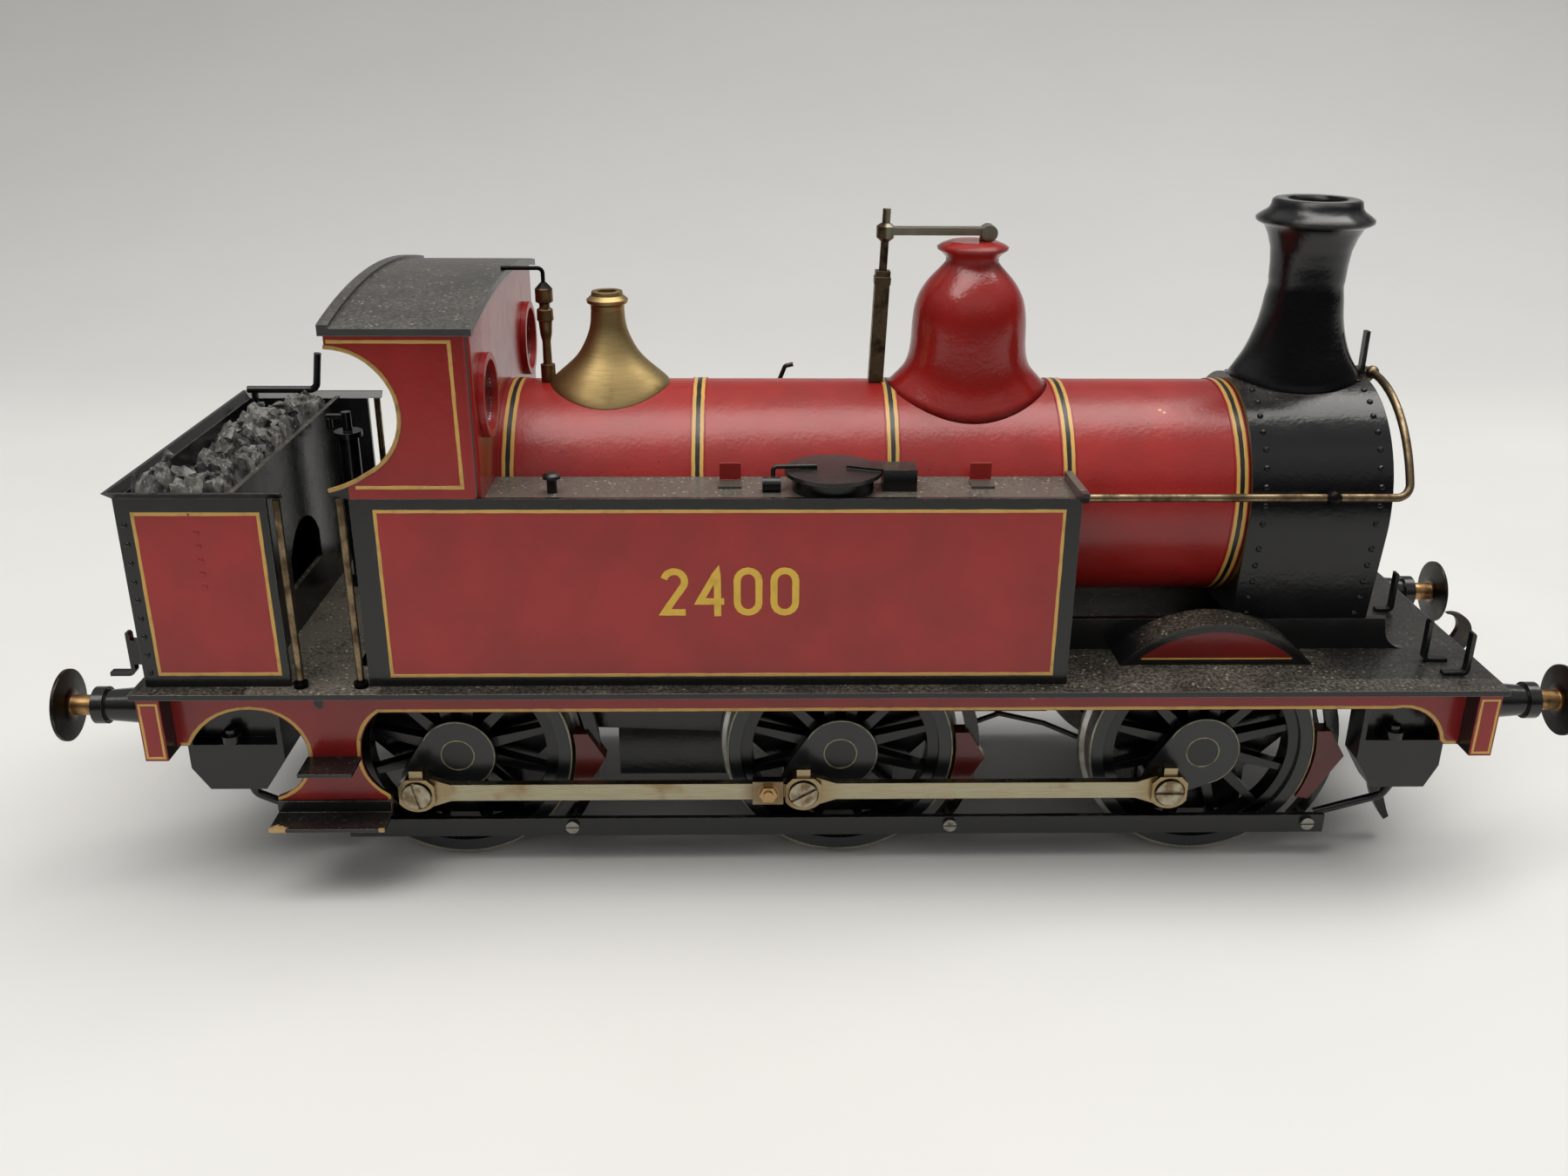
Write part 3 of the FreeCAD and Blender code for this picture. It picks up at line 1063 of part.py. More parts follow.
def write_static():
    dome_solid = dome()
    save("footplate", footplate())
    save("valances", *both(valance))
    save("cab_steps", *[t for side in SIDES for t in cab_step_treads(side)])
    save("buffer_beams", buffer_beam(-1), buffer_beam(1))
    save("main_frames", *both(frame_plate), *both(frame_upstand))
    save("frame_spacers", *frame_spacers())
    save("axle_bushes", *[axle_bush(x, side) for x in AXLES.values() for side in SIDES])
    save("ashpan", ashpan())
    save("drawhooks", drawhook(-1), drawhook(1))
    save("buffer_housings", *[buffer_housing(end, side) for end in SIDES for side in SIDES])
    corners = [(side, front) for side in SIDES for front in (False, True)]
    save("sandboxes_and_pipes", *[piece(*corner) for corner in corners for piece in (sandbox, sand_pipe)])
    save("brake_hangers", *[brake_hanger(x, side) for x in AXLES.values() for side in SIDES])
    save("brake_blocks", *[brake_block(x, side) for x in AXLES.values() for side in SIDES])
    save("brake_pull_rods", *both(brake_pull_rod))
    screws = [brake_screw(x, side) for x in AXLES.values() for side in SIDES]
    save("chassis_screws", *screws, *[body_screw(x) for x in SCREW_X])
    save("smokebox", smokebox())
    save("smokebox_door", smokebox_door())
    save("chimney", chimney())
    save("boiler_barrel", boiler_barrel())
    save("boiler_bands", *boiler_bands(dome_solid))
    save("dome", dome_solid)
    save("salter_valve", *salter_valve())
    cover = safety_valve_cover()
    save("safety_valve_cover", cover)
    save("whistle", whistle(cover))
    cab_rails = [cab_handrail(side, x) for side in SIDES for x in (-69.1, -61.2)]
    save("handrails", *boiler_handrail(), *cab_rails)
    save("splashers", *both(splasher))
    save("side_tanks", *both(side_tank))
    save("tank_fittings", *[p for side in SIDES for p in tank_filler(side) + tank_top_fittings(side)])
    save("cab_shell", cab_shell())
    save("cab_roof", cab_roof())
    save("spectacle_rims", *both(spectacle_rim))
    save("cab_windows", *both(cab_window))
    save("backhead", backhead())
    save("handbrake", handbrake())
    save("bunker", bunker())
    save("coal_plate", coal_plate())
    save("coal_load", coal_load())
    save("fire_iron", fire_iron())
    save("lamp_irons", *lamp_irons())
    save("motor", motor())
    save("gearbox", gearbox())
    save("pickups", *pickups())


def write_moving():
    for name, x in AXLES.items():
        save(f"{name}_axle", axle(x), *[crankpin(x, side) for side in SIDES])
        save(f"{name}_wheels", *[piece(x, side) for side in SIDES for piece in (wheel_centre, tyre)])
    save("worm_wheel", worm_wheel())
    save("worm_shaft", worm_shaft())
    save("right_coupling_rods", *coupling_rods(-1))
    save("left_coupling_rods", *coupling_rods(1))
    for end, end_name in ((1, "front"), (-1, "rear")):
        for side, side_name in ((-1, "right"), (1, "left")):
            save(f"{end_name}_{side_name}_buffer", buffer_head(end, side))
            save(f"{end_name}_{side_name}_buffer_spring", buffer_spring(end, side))


os.makedirs("parts", exist_ok=True)
write_static()
write_moving()
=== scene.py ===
"""Looks for a model steam locomotive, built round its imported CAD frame.

Lengths in this file are millimetres in the CAD frame; MM turns them into metres.
"""
import math
import random

import bmesh
import bpy
from mathutils import Matrix, Vector, noise


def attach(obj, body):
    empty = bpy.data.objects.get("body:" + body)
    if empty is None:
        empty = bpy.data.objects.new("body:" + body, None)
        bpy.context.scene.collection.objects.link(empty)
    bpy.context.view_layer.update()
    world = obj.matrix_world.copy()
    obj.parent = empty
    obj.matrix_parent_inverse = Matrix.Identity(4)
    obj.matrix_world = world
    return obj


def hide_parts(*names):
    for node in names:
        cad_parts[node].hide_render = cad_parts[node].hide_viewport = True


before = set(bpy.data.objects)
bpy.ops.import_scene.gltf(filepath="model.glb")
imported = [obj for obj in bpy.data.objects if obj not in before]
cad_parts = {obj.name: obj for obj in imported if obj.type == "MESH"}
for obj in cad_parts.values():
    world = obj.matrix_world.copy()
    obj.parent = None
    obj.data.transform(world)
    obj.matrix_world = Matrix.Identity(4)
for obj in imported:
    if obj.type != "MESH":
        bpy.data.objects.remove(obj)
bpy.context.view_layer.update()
MM = 0.001
SIDES = {"right": -1, "left": 1}
CORNERS = [f"{end}_{side}" for end in ("front", "rear") for side in SIDES]

# ---- where things are ----
AXLE_Z = 17.0
AXLES = {"rear": -50.967, "middle": 2.7, "front": 54.033}
BOILER_Z = 50.77
BAND_X = (-42.1, -16.9, 9.3, 32.9, 56.2)
BODY_Y = 25.33
TANK_PANEL = (-57.0, 30.05, 32.45, 55.25)
BUNKER_PANEL = (-87.25, -71.6, 32.75, 54.95)
BACK_PANEL = (-22.6, 22.6, 32.75, 54.95)
BUNKER_BACK_X = -89.4
CAB_FRONT_X = -43.6
VALANCE_Y = 24.3
BEAM_FACE_X = 90.1
BEAM_END_Y = 27.6
SPLASHER_Z = 19.35
SPLASHER_R = 16.4
SPLASHER_FACE_Y = 19.38
TANK_TOP_Z = 56.1
LUGS_X = ((-15.5, -9.5), (17.5, 23.5))
LUG_BEND_Y = 16.62
KNOB_X = 67.4
WHEEL_FACE_Y = 18.4
TYRE_IN_R = 14.02
CRANK_THROW = 6.8
CRANK_DEG = {"right": -140.8, "left": -50.8}
KNUCKLE_BACK = 4.9

# ---- colours, linear ----
RED = (0.31, 0.014, 0.012)
RED_DEEP = (0.24, 0.011, 0.010)
RED_SHADED = (0.27, 0.012, 0.010)
BLACK = (0.006, 0.006, 0.0065)
TYRE_GREY = (0.014, 0.016, 0.018)
LINE_YELLOW = (0.60, 0.36, 0.085)
LINE_OCHRE = (0.42, 0.25, 0.07)
PALE_NUMBER = (0.72, 0.46, 0.05)
# pale dust tone; on the roof and smokebox tops it is also a painted sheen from the overhead light
DUST_SHEEN_TONE = (0.135, 0.118, 0.095)
DUST_FLECK = (0.33, 0.29, 0.22)
TANK_TOP_GREY = (0.075, 0.068, 0.060)
BRASS = (0.37, 0.27, 0.12)
BRASS_DARK = (0.16, 0.105, 0.045)
COPPER = (0.42, 0.25, 0.11)
LINE_PALE = (0.30, 0.27, 0.15)
BRONZE = (0.085, 0.058, 0.034)
BRONZE_WORN = (0.27, 0.20, 0.12)
NICKEL = (0.37, 0.345, 0.24)
NICKEL_BROWN = (0.27, 0.17, 0.07)
STEEL = (0.56, 0.55, 0.53)
STEEL_DARK = (0.045, 0.042, 0.042)
SOOT = (0.012, 0.011, 0.011)
COAL = (0.030, 0.030, 0.031)
COAL_PALE = (0.19, 0.185, 0.17)
FLOOR = (0.74, 0.74, 0.735)
WALL = (0.66, 0.66, 0.66)


class Shader:
    """A Principled material, with short calls that add the nodes before it."""

    def __init__(self, name, **constants):
        self.material = bpy.data.materials.new(name)
        self.material.use_nodes = True
        self.tree = self.material.node_tree
        self.tree.nodes.clear()
        self.surface = self.tree.nodes.new("ShaderNodeBsdfPrincipled")
        output = self.tree.nodes.new("ShaderNodeOutputMaterial")
        self.tree.links.new(self.surface.outputs["BSDF"], output.inputs["Surface"])
        for socket, value in constants.items():
            self.surface.inputs[socket.replace("_", " ")].default_value = value
        place = self.tree.nodes.new("ShaderNodeTexCoord").outputs["Object"]
        scaled = self.add("ShaderNodeVectorMath", operation="SCALE")
        self.feed(scaled.inputs[0], place)
        scaled.inputs["Scale"].default_value = 1 / MM
        self.mm = scaled.outputs[0]
        split = self.add("ShaderNodeSeparateXYZ")
        self.feed(split.inputs[0], self.mm)
        self.x, self.y, self.z = split.outputs
        self.out_y = self.calc("ABSOLUTE", self.y)
        self.out_x = self.calc("ABSOLUTE", self.x)
        self.geometry = self.add("ShaderNodeNewGeometry")

    def add(self, kind, **settings):
        node = self.tree.nodes.new(kind)
        for name, value in settings.items():
            setattr(node, name, value)
        return node

    def feed(self, socket, value):
        """Link a node's output to a socket, or set the socket to a number or colour."""
        if isinstance(value, bpy.types.NodeSocket):
            self.tree.links.new(value, socket)
        elif isinstance(value, tuple) and len(value) == 3 and len(socket.default_value) == 4:
            socket.default_value = (*value, 1.0)
        else:
            socket.default_value = value

    def calc(self, operation, *values):
        node = self.add("ShaderNodeMath", operation=operation)
        for socket, value in zip(node.inputs, values):
            self.feed(socket, value)
        return node.outputs[0]

    def vector(self, operation, first, second, output="Vector"):
        node = self.add("ShaderNodeVectorMath", operation=operation)
        self.feed(node.inputs[0], first)
        self.feed(node.inputs[1], second)
        return node.outputs[output]

    def step(self, value, low, high):
        """0 below low, 1 above high, smooth between."""
        node = self.add("ShaderNodeMapRange", interpolation_type="SMOOTHSTEP")
        for socket, number in zip(node.inputs, (value, low, high, 0.0, 1.0)):
            self.feed(socket, number)
        return node.outputs[0]

    def above(self, value, edge, soft=0.03):
        return self.step(value, edge - soft, edge + soft)

    def opposite(self, mask):
        return self.calc("SUBTRACT", 1.0, mask)

    def below(self, value, edge, soft=0.03):
        return self.opposite(self.above(value, edge, soft))

    def between(self, value, low, high, soft=0.03):
        return self.calc("SUBTRACT", self.above(value, low, soft), self.above(value, high, soft))

    def both(self, *masks):
        result = masks[0]
        for mask in masks[1:]:
            result = self.calc("MULTIPLY", result, mask)
        return result

    def either(self, *masks):
        result = masks[0]
        for mask in masks[1:]:
            result = self.calc("MAXIMUM", result, mask)
        return result

    def mix(self, factor, first, second):
        node = self.add("ShaderNodeMix", data_type="RGBA")
        self.feed(node.inputs[0], factor)
        self.feed(node.inputs[6], first)
        self.feed(node.inputs[7], second)
        return node.outputs[2]

    def cloud(self, size, detail=3.0, stretch=None, seed=0.0):
        """Noise whose features are about size millimetres."""
        place = self.vector("ADD", self.mm, (seed, seed * 0.7, -seed))
        if stretch:
            place = self.vector("MULTIPLY", place, stretch)
        node = self.add("ShaderNodeTexNoise")
        self.feed(node.inputs["Vector"], place)
        node.inputs["Scale"].default_value = 1.0 / size
        node.inputs["Detail"].default_value = detail
        return node.outputs["Fac"]

    def specks(self, spacing, size, seed=0.0):
        """Small scattered dots, about one in each spacing."""
        node = self.add("ShaderNodeTexVoronoi")
        self.feed(node.inputs["Vector"], self.vector("ADD", self.mm, (seed, seed, seed)))
        node.inputs["Scale"].default_value = 1.0 / spacing
        dots = self.step(node.outputs["Distance"], size / spacing, size / spacing * 0.5)
        keep = self.above(self.cloud(spacing * 2.5, seed=seed + 5), 0.52, 0.04)
        return self.both(dots, keep)

    def upward(self, low=0.75, high=0.97):
        """1 on surfaces that face up, 0 on steep ones."""
        split = self.add("ShaderNodeSeparateXYZ")
        self.feed(split.inputs[0], self.geometry.outputs["Normal"])
        return self.step(split.outputs[2], low, high)

    def rounded(self, radius=0.12):
        """The surface normal with its hard edges eased, and how near an edge is."""
        bevel = self.add("ShaderNodeBevel", samples=4)
        bevel.inputs["Radius"].default_value = radius * MM
        normal = bevel.outputs[0]
        turn = self.vector("DOT_PRODUCT", normal, self.geometry.outputs["True Normal"], "Value")
        return normal, self.step(turn, 0.97, 0.80)

    def bump(self, height, depth, normal=None, strength=1.0):
        node = self.add("ShaderNodeBump")
        node.inputs["Distance"].default_value = depth * MM
        node.inputs["Strength"].default_value = strength
        self.feed(node.inputs["Height"], height)
        if normal is not None:
            self.feed(node.inputs["Normal"], normal)
        return node.outputs[0]

    def spot(self, centre, radius, seed=0.0):
        """A ragged patch round one point."""
        away = self.vector("DISTANCE", self.mm, centre, "Value")
        ragged = self.calc("MULTIPLY_ADD", self.cloud(0.5, 2.0, seed=seed), radius * 1.6, away)
        return self.step(ragged, radius * 1.9, radius * 1.6)

    def radius_from(self, x, z):
        """The distance from a line that runs across the engine at (x, z)."""
        dx = self.calc("SUBTRACT", self.x, x)
        dz = self.calc("SUBTRACT", self.z, z)
        squares = self.calc("ADD", self.calc("MULTIPLY", dx, dx), self.calc("MULTIPLY", dz, dz))
        return self.calc("SQRT", squares)

    def finish(self, colour, roughness, normal, metal=None):
        """Join everything to the surface and hand over the material."""
        self.feed(self.surface.inputs["Base Color"], colour)
        self.feed(self.surface.inputs["Roughness"], roughness)
        self.feed(self.surface.inputs["Normal"], normal)
        if metal is not None:
            self.feed(self.surface.inputs["Metallic"], metal)
        return self.material


def mottled(s, colour, amount=0.12, size=9.0, seed=0.0):
    """A paint colour, a little lighter and darker in patches."""
    light = tuple(c * (1 + amount) for c in colour)
    dark = tuple(c * (1 - amount) for c in colour)
    return s.mix(s.step(s.cloud(size, 4.0, seed=seed), 0.3, 0.7), dark, light)


def enamel(name, colour, zones=(), gloss=0.30, dust_and_sheen=0.0, wear=None, wear_amount=0.5, peel=0.02,
           spots=(), seed=0.0, dust_zone=None, specular=0.5, ease=0.12):
    """Brush and spray enamel: zones of colour, fine orange peel, dust on top, worn edges; on the roof and
    smokebox the dust is also a painted sheen.
    """
    s = Shader(name, Specular_IOR_Level=specular)
    paint = mottled(s, colour, seed=seed)
    for where, other in zones:
        paint = s.mix(where(s), paint, mottled(s, other, seed=seed + 3))
    normal, edge = s.rounded(ease)
    rough = s.calc("MULTIPLY_ADD", s.cloud(3.0, 4.0, seed=seed + 1), 0.14, gloss - 0.07)
    if wear is not None:
        ragged = s.both(edge, s.above(s.cloud(1.4, 4.0, seed=seed + 2), 1.0 - wear_amount, 0.07))
        paint = s.mix(ragged, paint, wear)
    for centre, radius, under in spots:
        paint = s.mix(s.spot(centre, radius, seed=centre[0]), paint, under)
    # pale dust on upward faces; on the roof and smokebox it also stands for a painted sheen from the
    # overhead light
    if dust_and_sheen:
        lying = s.upward()
        if dust_zone is not None:
            lying = s.both(lying, dust_zone(s))
        patches = s.step(s.cloud(7.0, 5.0, seed=seed + 8), 0.25, 0.7)
        fine = s.step(s.cloud(0.45, 3.0, seed=seed + 9), 0.40, 0.62)
        fine = s.calc("MULTIPLY_ADD", fine, 0.7, 0.3)
        cover = s.both(lying, s.calc("MULTIPLY_ADD", patches, 0.6, 0.4), fine)
        cover = s.calc("MULTIPLY", cover, dust_and_sheen)
        paint = s.mix(cover, paint, DUST_SHEEN_TONE)
        flecks = s.both(lying, s.specks(0.9, 0.24, seed=seed))
        paint = s.mix(s.calc("MULTIPLY", flecks, min(1.0, dust_and_sheen * 1.2)), paint, DUST_FLECK)
        rough = s.calc("MULTIPLY_ADD", cover, 0.55, rough)
    broad = s.calc("MULTIPLY", s.cloud(2.6, 2.0, seed=seed), 1.6)
    height = s.calc("ADD", s.cloud(0.55, 2.0, seed=seed), broad)
    return s.finish(paint, rough, s.bump(height, peel, normal, 0.8))


def metal(name, colour, patina, roughness=0.3, patina_size=4.0, amount=0.5, brushed=None, extra=None,
          seed=0.0, grain=0.006):
    """Bare metal with a patina in patches, nearer its own colour at the edges."""
    s = Shader(name, Metallic=1.0)
    normal, edge = s.rounded()
    patches = s.step(s.cloud(patina_size, 5.0, seed=seed), 0.75 - amount * 0.5, 0.95 - amount * 0.4)
    tone = s.mix(patches, colour, patina)
    fine = s.cloud(0.35, 3.0, stretch=brushed, seed=seed + 2)
    tone = s.mix(s.calc("MULTIPLY", s.step(fine, 0.35, 0.7), 0.3), tone, patina)
    tone = s.mix(s.calc("MULTIPLY", edge, 0.35), tone, colour)
    if extra is not None:
        tone = extra(s, tone)
    rough = s.calc("MULTIPLY_ADD", patches, 0.18, s.calc("MULTIPLY_ADD", fine, 0.14, roughness - 0.05))
    return s.finish(tone, rough, s.bump(fine, grain, normal, 0.7))


# ---- zones of colour on the CAD pieces ----

def panel_zone(x0, x1, z0, z1):
    return lambda s: s.both(s.between(s.x, x0, x1), s.between(s.z, z0, z1), s.above(s.out_y, BODY_Y - 0.2))


def back_panel_zone(s):
    y0, y1, z0, z1 = BACK_PANEL
    behind = s.below(s.x, BUNKER_BACK_X + 0.15)
    return s.both(s.between(s.y, y0, y1), s.between(s.z, z0, z1), behind)


def cab_outside(s):
    """The cab's outer faces, but not the black tip at the foot of its entrance."""
    tip = s.both(s.below(s.x, -59.9), s.below(s.z, 60.0))
    sides = s.both(s.above(s.out_y, BODY_Y - 0.25), s.opposite(tip))
    front = s.both(s.above(s.x, CAB_FRONT_X - 0.3), s.above(s.z, 54.0))
    return s.either(sides, front)


def tank_top_zone(s):
    return s.both(s.above(s.z, TANK_TOP_Z), s.below(s.out_y, BODY_Y - 0.75))


def splasher_face(s):
    inside = s.below(s.radius_from(AXLES["front"], SPLASHER_Z), SPLASHER_R)
    return s.both(inside, s.above(s.out_y, SPLASHER_FACE_Y - 0.18), s.above(s.z, 31.75))


def beam_outside(s):
    return s.either(s.above(s.out_y, BEAM_END_Y - 0.2), s.above(s.out_x, BEAM_FACE_X - 0.2))


def valance_outside(s):
    return s.above(s.out_y, VALANCE_Y - 0.25)


def band_distance(s):
    """How far along the boiler the nearest band's middle is, with a brush's wobble."""
    nearest = None
    for x in BAND_X:
        away = s.calc("ABSOLUTE", s.calc("SUBTRACT", s.x, x))
        nearest = away if nearest is None else s.calc("MINIMUM", nearest, away)
    wobble = s.calc("MULTIPLY_ADD", s.cloud(2.0, 2.0), 0.16, -0.08)
    return s.calc("ADD", nearest, wobble)


def band_black(s):
    return s.below(band_distance(s), 0.30)


def band_red(s):
    return s.above(band_distance(s), 0.78)


def near_lugs(s):
    return s.either(*(s.between(s.x, start, end) for start, end in LUGS_X))


def lug_upstand(s):
    """The turned-up plates of the tank's lifting lugs."""
    return s.both(near_lugs(s), s.between(s.out_y, 15.9, LUG_BEND_Y), s.above(s.z, TANK_TOP_Z + 0.2))


def lug_foot(s):
    return s.both(near_lugs(s), s.above(s.out_y, LUG_BEND_Y), s.below(s.out_y, 20.0))


def footplate_dust(s):
    """Thick dust inside the cab and round the splashers, thin elsewhere."""
    cab_floor = s.calc("MULTIPLY", s.between(s.x, -76.0, -58.5, 0.5), 2.4)
    by_splashers = s.calc("MULTIPLY", s.between(s.x, 26.0, 70.0, 5.0), 0.8)
    outer_edges = s.calc("MULTIPLY", s.above(s.out_y, 24.0), 0.6)
    return s.either(cab_floor, by_splashers, outer_edges, 0.25)


def floor_shade_patch(s):
    """Painted shade: a near-black patch on the cab floor beside the right tank, where a dark opening shows.
    """
    return s.both(s.between(s.x, -65.6, -60.0), s.between(s.y, -20.8, -10.5))


def rail_fittings(s, tone):
    """The black knobs and feet of the handrails."""
    feet = s.both(s.below(s.z, 32.0), s.below(s.x, -55.0))
    away = s.calc("ABSOLUTE", s.calc("SUBTRACT", s.x, KNOB_X))
    knobs = s.below(away, 1.0)
    return s.mix(s.either(feet, knobs), tone, SOOT)


def whistle_wire(s, tone):
    """The blackened operating wire above the whistle."""
    return s.mix(s.above(s.z, 78.6, 0.3), tone, SOOT)


def salter_lever(s, tone):
    """The plated lever over the spring column."""
    return s.mix(s.both(s.above(s.z, 85.4, 0.2), s.above(s.x, 8.4, 0.2)), tone, (0.30, 0.28, 0.22))


def axle_finish(x):
    """Bright axle and screws; each axle end is painted with its wheel."""
    s = Shader(f"axle_finish_{round(x)}")
    end = s.both(s.above(s.out_y, WHEEL_FACE_Y - 0.2), s.below(s.radius_from(x, AXLE_Z), 2.9))
    steel_tone = s.mix(s.step(s.cloud(1.3, 4.0), 0.35, 0.7), (0.38, 0.34, 0.25), (0.16, 0.11, 0.06))
    tone = s.mix(end, steel_tone, mottled(s, (0.010, 0.011, 0.012)))
    normal, _ = s.rounded()
    rough = s.calc("MULTIPLY_ADD", s.cloud(0.8), 0.2, 0.22)
    return s.finish(tone, rough, s.bump(s.cloud(0.4), 0.012, normal, 0.6), metal=s.opposite(end))


def brassy_ends(s, tone):
    """Browner patina towards a rod's ends, and a coppery nut on its knuckle."""
    for side_name, degrees in CRANK_DEG.items():
        px = CRANK_THROW * math.cos(math.radians(degrees))
        pz = CRANK_THROW * math.sin(math.radians(degrees))
        this_side = s.above(s.calc("MULTIPLY", s.y, float(SIDES[side_name])), 0.0)
        for x in AXLES.values():
            near = s.both(this_side, s.step(s.radius_from(x + px, AXLE_Z + pz), 6.5, 2.0))
            tone = s.mix(s.calc("MULTIPLY", near, 0.6), tone, NICKEL_BROWN)
        away = s.radius_from(AXLES["middle"] + px - KNUCKLE_BACK, AXLE_Z + pz)
        grime = s.both(this_side, s.step(away, 4.5, 1.5))
        tone = s.mix(s.calc("MULTIPLY", grime, 0.75), tone, (0.13, 0.075, 0.035))
        nut = s.both(this_side, s.below(away, 1.4), s.above(s.out_y, 22.15))
        tone = s.mix(nut, tone, (0.40, 0.26, 0.12))
    return tone


def wheel_paint(x):
    """Bright tread and flange, dark painted face, and spokes painted darker still as shade."""
    s = Shader(f"wheel_finish_{round(x)}")
    face = s.above(s.out_y, WHEEL_FACE_Y - 0.07)
    tyre = s.above(s.radius_from(x, AXLE_Z), TYRE_IN_R)
    bare = s.both(tyre, s.opposite(face))
    painted = s.mix(s.both(tyre, face), mottled(s, BLACK), mottled(s, TYRE_GREY, seed=2))
    boss = s.both(s.above(s.out_y, WHEEL_FACE_Y + 0.45), s.opposite(tyre))
    # painted shade: the spokes and everything set back behind the wheel's face are painted darker than the
    # face's black
    spoke_shade = s.opposite(s.either(s.above(s.out_y, WHEEL_FACE_Y + 0.2), tyre))
    painted = s.mix(spoke_shade, painted, (0.0015, 0.0015, 0.002))
    painted = s.mix(boss, painted, mottled(s, (0.022, 0.023, 0.025), seed=4))
    turned = s.cloud(0.25, 3.0, stretch=(0.05, 3.0, 0.05))
    steel = s.mix(s.step(s.cloud(3.0, 4.0), 0.4, 0.75), STEEL, (0.30, 0.26, 0.20))
    normal, edge = s.rounded()
    tone = s.mix(bare, painted, steel)
    rough = s.mix(bare, (0.17, 0.17, 0.17), (0.33, 0.33, 0.33))
    rough = s.calc("MULTIPLY_ADD", s.cloud(2.0), 0.1, rough)
    tone = s.mix(s.both(edge, bare), tone, (0.75, 0.73, 0.68))
    return s.finish(tone, rough, s.bump(turned, 0.012, normal, 0.6), metal=bare)


def buffer_finish():
    """Blackened head on a brass shank."""
    s = Shader("buffer_finish", Metallic=1.0)
    shank = s.below(s.out_x, 102.15, 0.1)
    normal, edge = s.rounded(0.2)
    worn = s.step(s.cloud(3.5, 5.0), 0.45, 0.8)
    head = s.mix(worn, (0.026, 0.025, 0.022), (0.062, 0.056, 0.045))
    head = s.mix(s.both(edge, s.above(s.cloud(1.0), 0.5)), head, (0.26, 0.21, 0.12))
    stem = s.mix(s.step(s.cloud(1.2, 4.0), 0.35, 0.75), COPPER, (0.17, 0.095, 0.04))
    rough = s.calc("MULTIPLY_ADD", s.cloud(1.5, 4.0), 0.22, 0.26)
    rings = s.cloud(0.3, 2.0, stretch=(4.0, 0.3, 0.3))
    return s.finish(s.mix(shank, head, stem), rough, s.bump(rings, 0.01, normal, 0.5))


def coal_finish():
    s = Shader("coal_finish")
    lumps = s.cloud(2.2, 5.0)
    grey = s.mix(s.step(lumps, 0.36, 0.62), COAL, COAL_PALE)
    glint = s.step(s.cloud(0.9, 2.0, seed=4), 0.5, 0.62)
    rough = s.calc("MULTIPLY_ADD", glint, -0.35, 0.55)
    height = s.calc("ADD", s.cloud(0.6, 4.0), s.cloud(0.2, 2.0))
    return s.finish(grey, rough, s.bump(height, 0.07, None, 0.9))


def glass_finish():
    s = Shader("glass_finish", Transmission_Weight=1.0, IOR=1.45)
    smears = s.step(s.cloud(2.5, 4.0), 0.4, 0.8)
    rough = s.calc("MULTIPLY_ADD", smears, 0.03, 0.01)
    tint = s.mix(smears, (0.93, 0.95, 0.95), (0.84, 0.86, 0.85))
    return s.finish(tint, rough, s.bump(s.cloud(3.0, 1.0), 0.004))


def line_finish(name, colour, darker):
    """Hand-brushed lining: uneven, with thin places and a soft shine."""
    s = Shader(name)
    thin = s.step(s.cloud(1.8, 4.0), 0.48, 0.78)
    tone = s.mix(thin, colour, darker)
    tone = s.mix(s.specks(2.6, 0.25, seed=7), tone, (0.10, 0.06, 0.03))
    rough = s.calc("MULTIPLY_ADD", s.cloud(0.8), 0.2, 0.30)
    return s.finish(tone, rough, s.bump(s.cloud(0.4, 2.0), 0.02, None, 0.6))


# ---- chips and stains: centre, radius, colour ----
BARE_METAL = (0.62, 0.30, 0.12)
DARK_RED = (0.12, 0.015, 0.012)
BOILER_SPOTS = [((46.0, -7.6, 63.7), 0.26, BARE_METAL), ((46.5, -8.0, 63.5), 0.24, BARE_METAL),
                ((44.0, -9.6, 62.3), 0.22, (0.10, 0.012, 0.012)), ((-35.0, -12.4, 59.2), 0.2, DARK_RED),
                ((-22.0, -13.0, 58.0), 0.22, DARK_RED), ((14.0, -13.6, 57.0), 0.2, DARK_RED)]
VALANCE_SPOTS = [((-67.5, -24.3, 27.9), 0.75, BLACK), ((2.0, -24.3, 29.3), 0.4, LINE_OCHRE),
                 ((28.0, -24.3, 28.7), 0.45, (0.50, 0.30, 0.12)), ((-56.7, -24.3, 26.6), 0.35, BLACK)]
STEP_SPOTS = [((-73.8, -29.4, 11.3), 1.3, (0.50, 0.33, 0.14)),
              ((-59.6, -29.4, 11.3), 0.5, (0.40, 0.27, 0.12))]

# ---- the materials ----
black = enamel("black_enamel", BLACK, gloss=0.22, wear=(0.11, 0.105, 0.10), wear_amount=0.5, seed=1)
black_dusty = enamel("black_enamel_dusty", BLACK, gloss=0.26, dust_and_sheen=0.75, wear=(0.16, 0.15, 0.14), seed=2)
# on the smokebox the pale dust on upward faces paints the overhead highlight on its top
black_gloss = enamel("black_enamel_gloss", (0.003, 0.003, 0.004), gloss=0.2, dust_and_sheen=0.16, specular=0.42,
                     wear=(0.10, 0.08, 0.07), wear_amount=0.4, peel=0.03, seed=3)
black_cast = enamel("black_enamel_casting", (0.004, 0.004, 0.005), gloss=0.14, peel=0.03, ease=1.3, seed=18)
